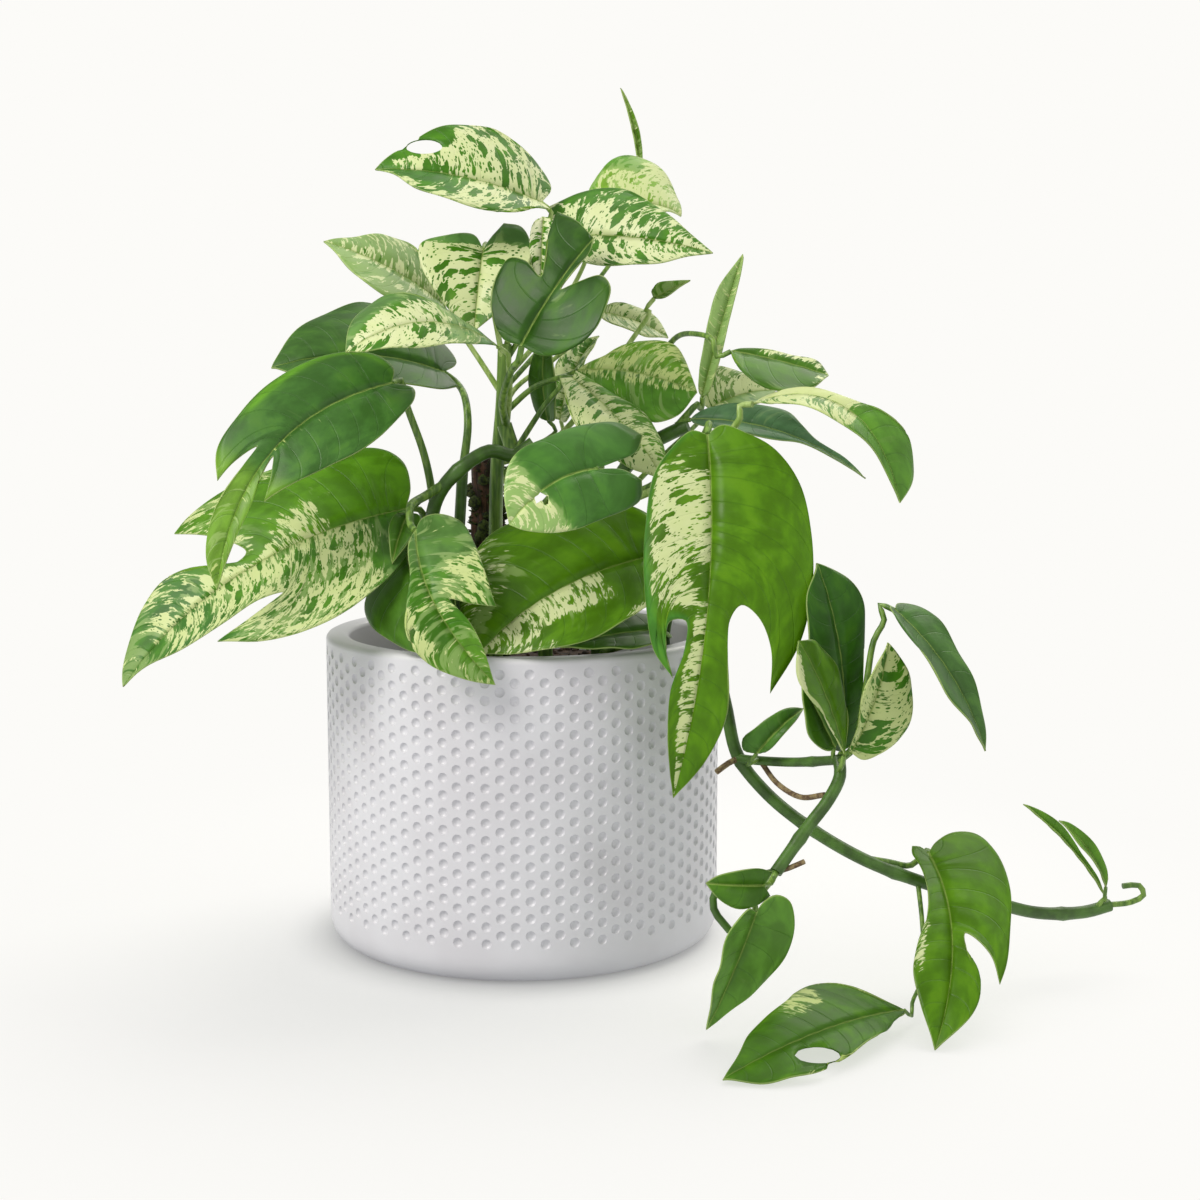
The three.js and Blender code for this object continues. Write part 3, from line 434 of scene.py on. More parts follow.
            (88, 14, 58, 1.4), (76, 14, 64, 1.1), (75, 8, 70), (87, 7, 80), (104, 10, 95), (120, 8, 112),
            (134, 4, 129)),
        look=Look(0, 0.1, warm=0.45, patches=(
            Patch(Side.LEFT, (-0.5, 1.05), green="548606"),
            Patch(Side.RIGHT, (0.07, 0.36), (0, 0.78), cream=0.72, sage=0.2, fleck=0.8),
            Patch(Side.RIGHT, (0.3, 0.5), (0.15, 0.95), cream=0.55, fleck=0.5),
            Patch(Side.RIGHT, (0.45, 1), (0, 0.5), cream=0.58, fleck=0.6),
            Patch(Side.RIGHT, (-0.1, 0.07), cream=0.15),
            Patch(Side.RIGHT, (0, 0.7), (0.8, 1), cream=0.08, green="4a8a2c"),
        )),
    ),
    "mid_upper": Leaf(
        Green.MARBLED, (24, -12, 245), (74, -26, 236), roll=10, arch=5, fold=(10, -15),
        left=((4, 3), (12, 7), (20, 14), (29, 17), (38, 17), (43, 13), (48, 6)),
        right=((6, 6), (16, 13), (30, 18), (41, 20), (49, 13)),
        look=Look(0.55, 0.45, 0.6, warm=0.8, patches=(
            Patch(Side.RIGHT, (-0.1, 1.05), (0.2, 1), cream=0.12, sage=0.3, green="5c962a"),
            Patch(Side.LEFT, (0, 1.05), cream=0.5, green="64962a"),
        )),
    ),
    "mid_lower": Leaf(
        Green.MARBLED, (22, -28, 242), (60, -51, 203), roll=-8, arch=3, fold=5, curl=20, hook=3,
        left=((-2, 4), (8, 6), (20, 9), (32, 12), (42, 11), (51, 7)),
        right=((-2, 5), (6, 10), (14, 15), (24, 19), (38, 18), (50, 11)),
        look=Look(0.66, 0.4, 0.7, warm=0.5, patches=(
            Patch(Side.LEFT, (0, 1), (0.3, 1), cream=0.4, green="5c962a"),
        )),
    ),
    "centre_back": Leaf(
        Green.DARK, (11, 4, 223), (10, -2, 258), roll=-50, arch=2, fold=8, curl=20,
        left=((2, 5), (9, 8), (18, 8), (28, 6)),
        right=((2, 6), (10, 8), (19, 9), (28, 7)),
        look=Look(0, 0.1),
    ),
    "mid_back": Leaf(
        Green.MARBLED, (16, 18, 223), (33, 30, 260), roll=-38, arch=4, fold=12, curl=20,
        left=((2, 6), (10, 9), (21, 13), (32, 13)),
        right=((-1, 6), (5, 13), (13, 13), (24, 9), (34, 6)),
        look=Look(0.52, 0.4, 0.3),
    ),
    "back_pale": Leaf(
        Green.MARBLED, (35, 26, 270), (64, 34, 259), arch=2, fold=12, curl=16,
        left=((1, 4), (7, 8), (16, 9), (26, 6)),
        right=((-1, 5), (4, 10), (14, 12), (25, 7)),
        look=Look(0.55, 0.7, 0.3),
    ),
    "edge_on": Leaf(
        Green.FRESH, (57, 14, 276), (73, 22, 284), curl=10,
        left=((2, 4), (6, 6), (12, 4)),
        right=((2, 3), (7, 3), (14, 1)),
        look=Look(0.1, 0.5),
    ),
    "right_flag": Leaf(
        Green.DARK, (87, -36, 253), (127, -38, 243), roll=-5, arch=1, fold=8, curl=20,
        left=((5, 3), (14, 5), (26, 6), (36, 6)),
        right=((3, 8), (10, 17), (18, 22), (26, 22), (36, 13)),
        look=Look(0, 0.18, patches=(
            Patch(Side.LEFT, (0.25, 1.05), (0.3, 1), cream=0.55, fleck=0.6),
            Patch(Side.RIGHT, (0.85, 1.05), (0.4, 1), cream=0.5, fleck=0.5),
        )),
    ),
    "right_back": Leaf(
        Green.MARBLED, (81, 14, 228), (111, 22, 236), arch=3, fold=12, curl=5,
        left=((-1, 6), (4, 13), (11, 19), (18, 15), (25, 7)),
        right=((0, 5), (7, 10), (15, 12), (24, 8)),
        look=Look(0.55, 0.7, 0.5, patches=(Patch(Side.RIGHT, (0.3, 1.05), cream=0.2, green="6f9658"),)),
    ),
    "right_tail": Leaf(
        Green.DARK, (71, -30, 225), (143, -38, 201), arch=9, curl=10,
        left=((3, 4), (10, 8), (22, 11), (36, 12), (44, 7), (52, 3), (66, 2)),
        right=((3, 4), (12, 7), (27, 9), (38, 6), (46, 3), (60, 2)),
        look=Look(0, 0.18, warm=0.1, green="527a52"),
    ),
    "right_upright": Leaf(
        Green.FRESH, (76, -26, 234), (93, -18, 293), arch=2, fold=30, curl=30,
        left=((2, 2), (10, 4), (20, 5), (32, 6), (44, 6), (54, 3)),
        right=((3, 3), (12, 4), (24, 4), (40, 3), (54, 2)),
        look=Look(0.34, 0.8, warm=0.6, green="80aa5c"),
    ),
    "right_arch": Leaf(
        Green.MARBLED, (95, -52, 232), (152, -80, 197), roll=-10, arch=21, curl=20, hook=4,
        left=((5, 4), (16, 5), (30, 5), (40, 7), (50, 13), (60, 18), (68, 13)),
        right=((3, 4), (14, 12), (27, 14), (38, 12), (48, 10), (58, 6), (67, 3)),
        look=Look(0, 0.12, warm=0.6, patches=(
            Patch(Side.BOTH, (0.5, 1.05), green="5e9430"),
            Patch(Side.LEFT, (-0.1, 0.55), cream=0.88, sage=0.3, fleck=0.15),
            Patch(Side.RIGHT, (-0.1, 0.62), cream=0.62, sage=0.5, fleck=0.3),
        )),
    ),
    "hang_dark": Leaf(
        Green.DARK, (128, -93, 98), (118, -85, 171), roll=30, arch=6, fold=13, curl=30,
        left=((3, 7), (14, 13), (29, 17), (47, 17), (62, 12)),
        right=((4, 5), (18, 8), (32, 10), (45, 14), (56, 16), (66, 12)),
        look=Look(0, 0.05, green="2a5a08"),
    ),
    "hang_light": Leaf(
        Green.FRESH, (126, -116, 101), (108, -116, 145), roll=37, arch=2, curl=10,
        left=((5, 4), (17, 10), (26, 16), (34, 21), (43, 16)),
        right=((5, 3), (14, 10), (25, 14), (34, 14), (43, 10)),
        look=Look(patches=(Patch(Side.LEFT, (0, 0.95), (0.72, 1), cream=0.85),)),
    ),
    "hang_shade": Leaf(
        Green.DARK, (123, -109, 103), (110, -112, 129), curl=20,
        left=((0, 3), (4, 7), (10, 9), (18, 7), (24, 4)),
        right=((1, 3), (7, 5), (14, 5), (21, 3)),
        look=Look(0, 0.1),
    ),
    "hang_marbled": Leaf(
        Green.MARBLED, (129, -110, 101), (143, -108, 143), roll=60, arch=3, fold=15, curl=5,
        left=((3, 3), (12, 6), (21, 10), (29, 11), (37, 5)),
        right=((-1, 7), (5, 14), (14, 18), (25, 17), (34, 12), (40, 6)),
        look=Look(0.74, 0.3, 0.9, warm=0.7),
    ),
    "hang_far": Leaf(
        Green.DARK, (147, -96, 154), (180, -112, 102), roll=-30, arch=6, sweep=-2, fold=15, curl=6,
        left=((-2, 4), (2, 11), (10, 14), (24, 12), (40, 9), (54, 5)),
        right=((-1, 4), (7, 11), (20, 18), (34, 20), (46, 15), (56, 6)),
        look=Look(0, 0.1, green="456e30"),
    ),
    "hang_small": Leaf(
        Green.FRESH, (95, -88, 96), (114, -82, 113), roll=20, arch=7, curl=10,
        left=((-2, 5), (1, 8), (6, 7), (12, 6), (20, 4)),
        right=((4, 3), (12, 3), (20, 2)),
        look=Look(green="4e8030"),
    ),
    "trail_fold": Leaf(
        Green.DARK, (91, -142, 48), (73, -142, 3), roll=-60, arch=1, fold=15, curl=5,
        left=((-5, 2), (-8, 6), (-7, 12), (1, 17), (12, 18), (23, 15), (38, 6)),
        right=((-1, 6), (6, 11), (14, 12), (24, 10), (36, 6)),
        look=Look(0, 0.12, green="5a8c2e"),
    ),
    "trail_flap": Leaf(
        Green.DARK, (94, -138, 57), (72, -146, 60), roll=-50, arch=2, curl=20,
        left=((-3, 4), (4, 7.5), (12, 8.5), (19, 5)),
        right=((-3, 5), (4, 6.5), (13, 5.5), (20, 3)),
        look=Look(0, 0.12),
    ),
    "trail_cut": Leaf(
        Green.FRESH, (164, -84, 55), (155, -157, 1), arch=6, sweep=7, fold=8, curl=12,
        left=((-5, 5), (-8, 13), (-5, 21), (6, 25), (24, 25), (41, 22), (55, 20, 32), (63, 18, 37),
            (52, 14, 39.5), (43, 5, 42), (52, 5.5, 46), (64, 11, 52), (75, 10, 66)),
        right=((-4, 2), (-5, 5), (-1, 6.5), (8, 6), (24, 7), (36, 9), (50, 13), (64, 14), (77, 9)),
        look=Look(0, 0.1, patches=(Patch(Side.RIGHT, (0.4, 0.7), (0.45, 1), cream=0.5),)),
    ),
    "floor": Leaf(
        Green.FRESH, (148, -131, 7), (76, -188, 2), roll=15, arch=5, fold=5, curl=10,
        left=((4, 3), (13, 6), (22, 10.5), (38, 14.6), (51, 17.6), (60, 18.2), (67, 17.8), (74, 15.4),
            (82, 12)),
        right=((3, 3), (8, 10), (13, 19), (20, 24), (28, 25), (37, 22.5), (45, 19), (58, 16), (70, 11.5),
            (81, 5)),
        holes=((57.5, 11, 8.3, 5.1, -29),),
        look=Look(0, 0.05, warm=0.8, green="447414", patches=(
            Patch(Side.RIGHT, (0.3, 0.56), (0.4, 1), cream=0.56),
            Patch(Side.LEFT, (0.45, 0.8), (0.85, 1), cream=0.5),
            Patch(Side.RIGHT, (0, 0.34), (0.88, 1), cream=0.45),
        )),
    ),
    "young_thin": Leaf(
        Green.FRESH, (242, -58, 30), (209, -50, 67), roll=20, arch=3, fold=30, curl=10,
        left=((8, 1.5), (20, 2), (33, 4), (43, 2.5)),
        right=((8, 1.5), (20, 2), (33, 4), (43, 2.5)),
        look=Look(0, 0.1, green="5c9028"),
    ),
    "young_wide": Leaf(
        Green.FRESH, (240, -66, 36), (220, -66, 64), roll=20, arch=3, fold=20, curl=10,
        left=((8, 3), (15, 6), (24, 6), (31, 3)),
        right=((4, 3), (12, 4.5), (22, 4), (31, 2)),
        look=Look(0, 0.1, green="5c9028"),
    ),
}

VINES = {
    "stem_middle": Vine(
        stems=(
            Tube(3, ((-12, 4, 92), (-12, 3, 150), (-11, 0, 200), (-8, -4, 232), (-7, -4, 256))),
        ),
        stalks={
            "top_left": Tube(1.4, ((-7, -4, 252), (0, -2, 280), (7, -3, 300)), Skin.PALE),
            "top_right": Tube(1.3, ((-7, -4, 248), (6, 0, 270), (15, 2, 290))),
            "top_pale": Tube(1.2, ((-8, -3, 240), (10, 14, 262), (28, 28, 295)), Skin.PALE),
            "spear": Tube(1.2, ((-8, -3, 236), (14, 28, 262), (44, 58, 302))),
            "top_folded": Tube(1, ((-7, -4, 254), (2, -12, 282), (9, -17, 300)), Skin.PALE, direct=True),
            "left_high": Tube(1.3, ((-8, -4, 234), (-20, 2, 252), (-30, 6, 266)), Skin.PALE),
            "left_veined": Tube(1.3, ((-7, -4, 244), (-10, -8, 262), (-14, -12, 285)), Skin.PALE),
            "mid_upper": Tube(1.4, ((-8, -4, 226), (6, -11, 238), (17, -12, 242))),
            "centre_back": Tube(1.2, ((-11, 0, 198), (2, 4, 210))),
            "mid_back": Tube(1.2, ((-11, 1, 195), (2, 12, 206), (12, 16, 216)), Skin.PALE),
            "back_pale": Tube(1.2, ((-9, -1, 222), (-4, 10, 236), (14, 18, 250), (30, 24, 265)), Skin.PALE),
            "edge_on": Tube(1.4, ((-10, 0, 205), (10, 1, 212), (31, 4, 234), (46, 10, 256),
                (55, 14, 270)), Skin.PALE),
        },
    ),
    "stem_front": Vine(
        stems=(
            Tube(3.2, ((12, -14, 92), (8, -16, 150), (0, -16, 200), (-7, -12, 222))),
        ),
        stalks={
            "heart": Tube(1.8, ((-6, -12, 221), (-7, -26, 232), (-2, -44, 246))),
            "left_marbled": Tube(1.4, ((-6, -12, 222), (-4, -26, 238), (-4, -36, 249)), Skin.PALE),
            "centre_round": Tube(1.6, ((4, -16, 182), (16, -33, 196), (28, -60, 205))),
            "mid_lower": Tube(1.3, ((-3, -16, 210), (10, -18, 230), (18, -24, 240))),
        },
    ),
    "stem_right": Vine(
        stems=(
            Tube(3, ((34, -14, 92), (32, -14, 150), (34, -16, 184), (49, -22, 210), (63, -26, 219),
                (70, -28, 222)), Skin.VINE),
        ),
        stalks={
            "centre_wide": Tube(1.6, ((32, -14, 130), (48, -30, 158), (56, -42, 167)), Skin.PALE),
            "low_dark": Tube(1.2, ((32, -14, 124), (50, -32, 132), (60, -46, 138))),
            "right_flag": Tube(1.5, ((34, -15, 180), (46, 2, 212), (57, 4, 244), (65, -6, 258),
                (73, -22, 260), (80, -33, 257))),
            "right_back": Tube(1.3, ((34, -16, 182), (58, -4, 206), (76, 10, 222))),
            "right_tail": Tube(1.4, ((63, -26, 218), (68, -28, 222))),
            "right_upright": Tube(1.6, ((64, -26, 220), (70, -27, 227), (74, -26, 231))),
            "right_arch": Tube(1.8, ((34, -17, 186), (60, -34, 198), (80, -44, 214),
                (90, -50, 226)), Skin.PALE),
            "big_cut": Tube(1.9, ((36, -17, 188), (58, -30, 199), (73, -46, 215), (76, -57, 221))),
        },
    ),
    "stem_arching": Vine(
        stems=(
            Tube(2.9, ((-34, -18, 92), (-36, -24, 150), (-37, -30, 178), (-34, -36, 192), (-27, -40, 202),
                (-12, -36, 212), (-2, -32, 210), (6, -31, 215)), Skin.VINE),
        ),
        stalks={
            "left_cut": Tube(1.9, ((-36, -26, 160), (-36, -30, 190), (-39, -34, 210), (-46, -38, 232))),
            "left_long": Tube(1.7, ((-37, -29, 176),)),
            "left_small": Tube(1, ((-38, -43, 194),)),
            "rim_dark": Tube(1.3, ((-36, -22, 130), (-42, -32, 152), (-46, -38, 168))),
            "rim_cut": Tube(2, ((-30, -39, 199), (-38, -43, 194), (-43, -52, 191), (-43, -58, 187))),
        },
    ),
    "stem_short": Vine(
        stems=(
            Tube(2.4, ((-28, -10, 92), (-28, -10, 150), (-25, -8, 205)), Skin.VINE),
        ),
        stalks={
            "left_dark": Tube(1.9, ((-25, -8, 203), (-23, -4, 222), (-25, 4, 234))),
        },
    ),
    "trailing_vine": Vine(
        slim=0.86,
        stems=(
            Tube(3, ((60, -10, 92), (60, -14, 118), (62, -28, 143), (68, -48, 154), (76, -62, 144),
                (84, -66, 112), (89, -68, 91), (99, -72, 78), (114, -78, 66), (137, -84, 53),
                (162, -84, 43), (190, -80, 34), (211, -72, 27), (232, -64, 25),
                (243, -61, 27)), Skin.VINE),
            Tube(1.2, ((241, -61, 27), (252, -60, 28), (257, -60, 31), (255, -60, 35), (248, -61, 35))),
            Tube(2.2, ((89, -69, 90), (98, -78, 91), (110, -90, 93), (124, -105, 97)), Skin.VINE),
            Tube(2.8, ((125, -105, 98), (125, -110, 92), (120, -116, 84), (112, -121, 75),
                (99, -131, 60)), Skin.VINE),
            Tube(1.7, ((99, -130, 60), (88, -130, 57), (77, -130, 53), (76, -131, 46),
                (82, -133, 38)), Skin.VINE),
            Tube(1.2, ((89, -69, 90), (85, -73, 89), (80, -76, 86)), Skin.ROOT),
            Tube(1.1, ((98, -78, 90), (103, -86, 84), (111, -98, 81), (119, -112, 85)), Skin.ROOT),
            Tube(1, ((99, -131, 60), (104, -129, 61), (110, -127, 63)), Skin.ROOT),
        ),
        stalks={
            "hang_dark": Tube(1.4, ((124, -105, 96), (127, -98, 93))),
            "hang_light": Tube(1.2, ((125, -107, 97), (126, -111, 98))),
            "hang_shade": Tube(1.1, ((125, -107, 95),)),
            "hang_marbled": Tube(1.2, ((125, -107, 97), (127, -108, 99))),
            "hang_far": Tube(1.5, ((125, -106, 97), (131, -104, 102), (135, -101, 120), (139, -96, 142),
                (143, -95, 150))),
            "hang_small": Tube(1.1, ((96, -77, 91), (95, -82, 92))),
            "trail_fold": Tube(1.5, ((99, -131, 60), (94, -134, 54))),
            "trail_flap": Tube(1.2, ((99, -131, 60), (98, -134, 59))),
            "trail_cut": Tube(1.5, ((137, -84, 53), (148, -83, 51), (158, -80, 49))),
            "floor": Tube(1, ((160, -84, 43), (160, -96, 30), (158, -112, 14), (152, -124, 7))),
            "young_thin": Tube(1.1, ((236, -63, 25), (240, -60, 27))),
            "young_wide": Tube(1.1, ((236, -63, 25), (240, -64, 31))),
        },
    ),
}


def smooth_route(points: list[Vector], step: float) -> list[tuple[Vector, float]]:
    """Follow a centripetal Catmull-Rom curve through points.

    Args:
        points: the points to pass through.
        step: the distance between the samples, in the points' own unit.

    Returns:
        Each sample with its place in the list of points, as a number with a fraction.
    """
    padded = [points[0] * 2 - points[1], *points, points[-1] * 2 - points[-2]]
    samples = []
    for i in range(len(points) - 1):
        a, b, c, d = padded[i : i + 4]
        t1 = math.sqrt(max((b - a).length, 1e-6))
        t2 = t1 + math.sqrt(max((c - b).length, 1e-6))
        t3 = t2 + math.sqrt(max((d - c).length, 1e-6))
        count = max(2, round((c - b).length / step))
        for k in range(count):
            t = t1 + (t2 - t1) * k / count
            ab = a * ((t1 - t) / t1) + b * (t / t1)
            bc = b * ((t2 - t) / (t2 - t1)) + c * ((t - t1) / (t2 - t1))
            cd = c * ((t3 - t) / (t3 - t2)) + d * ((t - t2) / (t3 - t2))
            near = ab * ((t2 - t) / t2) + bc * (t / t2)
            far = bc * ((t3 - t) / (t3 - t1)) + cd * ((t - t1) / (t3 - t1))
            samples.append((near * ((t2 - t) / (t2 - t1)) + far * ((t - t1) / (t2 - t1)), i + k / count))
    samples.append((points[-1].copy(), float(len(points) - 1)))
    return samples


@dataclass
class Vein:
    """One side vein: its end on the margin, its place on the midrib, its bow, and how far round it ends."""

    along: float
    across: float
    root: float
    bow: float
    run: float = 0.0


@dataclass
class Blade:
    """The curved sheet of one leaf: its midrib in space and what lies across it, in mm."""

    leaf: Leaf
    # A vein leaves the midrib this share of its reach behind its end, and bows out by this much.
    lag: float = 0.6
    bow: float = 0.9
    # Veins leave the midrib at least this share of the blade's length apart.
    gap: float = 0.02
    # Half the share of the length over which the way of the midrib is taken.
    glance: float = 0.001
    # The distance between the veins along the margin, and the least one.
    margin_step: float = 1.6
    least: float = 0.0001
    # A turn of the margin that is sharper than this, in degrees, is the point of a lobe.
    lobe: float = 75.0
    # The share of the length from which the tip hangs down, and the width that the curl is given for.
    hook_start: float = 0.6
    curl_span: float = 30.0

    def __post_init__(self) -> None:
        """Work out the blade's axes and bends."""
        leaf = self.leaf
        self.base = Vector(leaf.base)
        axis = Vector(leaf.tip) - self.base
        self.length = axis.length
        self.axis = axis.normalized()
        up = (FACING - self.axis * FACING.dot(self.axis)).normalized()
        self.up = Matrix.Rotation(math.radians(leaf.roll), 3, self.axis) @ up
        self.bend = self.up * leaf.arch + self.up.cross(self.axis) * leaf.sweep
        fold = leaf.fold if isinstance(leaf.fold, tuple) else (leaf.fold, leaf.fold)
        self.fold = [math.radians(angle) for angle in fold]
        self.curl = math.radians(leaf.curl) / self.curl_span

    def rib(self, u: float) -> Vector:
        """Find a place on the midrib.

        Args:
            u: its share of the length, or a negative one for a place straight on behind the base.

        Returns:
            The place in mm.
        """
        rise = 4 * u * (1 - u) if u > 0 else 4 * u
        droop = ((u - self.hook_start) / (1 - self.hook_start)) ** 2 if u > self.hook_start else 0.0
        straight = self.base + self.axis * (self.length * u)
        return straight + self.bend * rise - self.up * (self.leaf.hook * droop)

    def point(self, along: float, across: float, lift: float = 0.0) -> Vector:
        """Find a place on the blade.

        Args:
            along: distance from the base along the midrib, in mm.
            across: distance from the midrib in mm, left being positive.
            lift: height above the sheet in mm.

        Returns:
            The place in mm.
        """
        u = along / self.length
        top = min(u + self.glance, 1.0)
        ahead = (self.rib(top) - self.rib(top - 2 * self.glance)).normalized()
        side = self.up.cross(ahead).normalized()
        normal = ahead.cross(side)
        out = abs(across)
        fold = self.fold[0 if across >= 0 else 1]
        turn = fold - self.curl * out
        if self.curl:
            wide = (math.sin(fold) - math.sin(turn)) / self.curl
            high = (math.cos(turn) - math.cos(fold)) / self.curl
        else:
            wide, high = out * math.cos(fold), out * math.sin(fold)
        sign = 1 if across >= 0 else -1
        lean = math.sin(turn) * sign
        return self.rib(u) + side * (sign * wide - lean * lift) + normal * (high + math.cos(turn) * lift)

    def seat(self, radius: float) -> list[Vector]:
        """Give the last two points of a stalk of that radius: below and behind its foot, and the foot."""
        foot = self.base - self.up * (0.3 * radius)
        return [foot - self.up * 4 - self.axis * 5, foot]

    def veins(self, points: tuple[Numbers, ...]) -> list[Vein]:
        """Smooth one side's margin, keeping the points of its lobes sharp.

        Args:
            points: the margin points of that side, as a Leaf holds them.

        Returns:
            The veins from the base to the tip.
        """
        knots = []
        for along, across, *rest in points:
            root = rest[0] if rest else along - self.lag * across
            knots.append(Vein(along, across, root, rest[1] if len(rest) > 1 else self.bow))
        gap = self.gap * self.length
        last = 0.0
        for knot in knots:
            last = knot.root = max(knot.root, last + gap)
        last = self.length
        for knot in reversed(knots):
            last = knot.root = min(knot.root, last - gap)
        knots = [Vein(0.0, 0.0, 0.0, self.bow), *knots, Vein(self.length, 0.0, self.length, self.bow)]
        margin = [Vector((knot.along, knot.across)) for knot in knots]
        sharp = [i for i in range(1, len(margin) - 1) if self._pointed(*margin[i - 1 : i + 2])]
        veins, run = [], 0.0
        for start, end in zip([0, *sharp], [*sharp, len(margin) - 1]):
            for spot, place in smooth_route(margin[start : end + 1], self.margin_step):
                if veins:
                    run += math.hypot(spot.x - veins[-1].along, spot.y - veins[-1].across)
                    if run - veins[-1].run < self.least:
                        continue
                lower = min(int(start + place), len(knots) - 2)
                share = start + place - lower
                root = mix(knots[lower].root, knots[lower + 1].root, share)
                bow = mix(knots[lower].bow, knots[lower + 1].bow, share)
                veins.append(Vein(spot.x, max(spot.y, 0.0), root, bow, run))
        return veins

    def _pointed(self, before: Vector, here: Vector, after: Vector) -> bool:
        """Tell whether the margin turns back on itself outwards here, as at the end of a lobe."""
        return (here - before).angle_signed(after - here) > math.radians(self.lobe)


class Kind(Enum):
    """The kinds of shader node in use: Blender's type, the inputs in the order of values, and settings."""

    PLUS = ("Math", (0, 1), {"operation": "ADD"})
    LESS = ("Math", (0, 1), {"operation": "SUBTRACT"})
    TIMES = ("Math", (0, 1), {"operation": "MULTIPLY"})
    LARGER = ("Math", (0, 1), {"operation": "MAXIMUM"})
    ABSOLUTE = ("Math", (0,), {"operation": "ABSOLUTE"})
    FRACTION = ("Math", (0,), {"operation": "FRACT"})
    # Value, from low, from high, to low, to high.
    RISE = ("MapRange", (0, 1, 2, 3, 4), {"interpolation_type": "SMOOTHSTEP"})
    # Share, first colour, second colour.
    BLEND = ("Mix", (0, 6, 7), {"data_type": "RGBA"})
    TINT = ("Mix", (0, 6, 7), {"data_type": "RGBA", "blend_type": "MULTIPLY"})
    STRETCH = ("VectorMath", (0, 1), {"operation": "MULTIPLY"})
    SHIFT = ("VectorMath", (0, 1), {"operation": "ADD"})
    REACH = ("VectorMath", (0,), {"operation": "LENGTH"})
    JOIN = ("CombineXYZ", (0, 1, 2), {})
    AXES = ("SeparateXYZ", (0,), {})
    PARTS = ("SeparateColor", (0,), {})
    PLACE = ("TexCoord", (), {})
    MAP = ("UVMap", (), {})
    LAYER = ("Attribute", (), {})
    NOISE = ("TexNoise", ("Vector", "Scale", "Detail", "Roughness", "Distortion"), {})
    CELLS = ("TexVoronoi", ("Vector", "Scale", "Randomness"), {})
    BUMP = ("Bump", ("Height", "Distance", "Strength"), {})
    THROUGH = ("BsdfTranslucent", ("Color",), {})
    GLOW = ("Emission", ("Color", "Strength"), {})
    # Share, first shader, second shader.
    COVER = ("MixShader", (0, 1, 2), {})
    RAY = ("LightPath", (), {})

    def __init__(self, type_name: str, inputs: tuple[int | str, ...], settings: dict[str, str]) -> None:
        """Name the three values."""
        self.type_name, self.inputs, self.settings = type_name, inputs, settings


def add(tree: NodeTree, kind: Kind, *values: object, **settings: str) -> Node:
    """Add one node with its settings and links.

    Args:
        tree: the tree of a material or of the world.
        kind: the kind of node.
        values: what its inputs get, as feed takes it.
        settings: properties of this one node.

    Returns:
        The new node.
    """
    node = tree.nodes.new(f"ShaderNode{kind.type_name}")
    for key, value in {**kind.settings, **settings}.items():
        setattr(node, key, value)
    feed(node, dict(zip(kind.inputs, values)))
    return node


def feed(node: Node, inputs: dict[int | str, object]) -> None:
    """Set input sockets of a node.

    Args:
        node: the node.
        inputs: by name or number, a constant, a socket to link from, or a node for its main output.
    """
    for key, value in inputs.items():
        if isinstance(value, Node):
            value = next(socket for socket in value.outputs if socket.enabled)
        if isinstance(value, NodeSocket):
            node.id_data.links.new(value, node.inputs[key])
        else:
            node.inputs[key].default_value = value


@dataclass(frozen=True)
class Finish:
    """A finish of the plant, its pot or the floor under them, by the name of its material."""

    name: str

    def make(self) -> Material:
        """Make the material.

        Returns:
            The material.
        """
        material = bpy.data.materials.new(self.name)
        material.use_nodes = True
        self.paint(material.node_tree)
        return material

    def paint(self, tree: NodeTree) -> None:
        """Add the finish's own nodes to the material's tree, which has the main shader and the output."""
        raise NotImplementedError


@dataclass(frozen=True)
class Grain:
    """A noise in space.

    Args:
        density: its cells in a metre, so that 250 gives a grain of 4 mm.
        detail, rough, warp: how many finer grains it holds, how strong they are, and how far they are bent.
        upright: its density upwards as a share of the one sideways, so that 0.1 makes it 10 times as tall.
    """

    density: float
    detail: float = 2.0
    rough: float = 0.5
    warp: float = 0.0
    upright: float = 1.0


@dataclass(frozen=True)
class Spread:
    """A value that moves smoothly from start to end as a grain rises from low to high."""

    grain: Grain
    low: float
    high: float
    start: float = 0.0
    end: float = 1.0


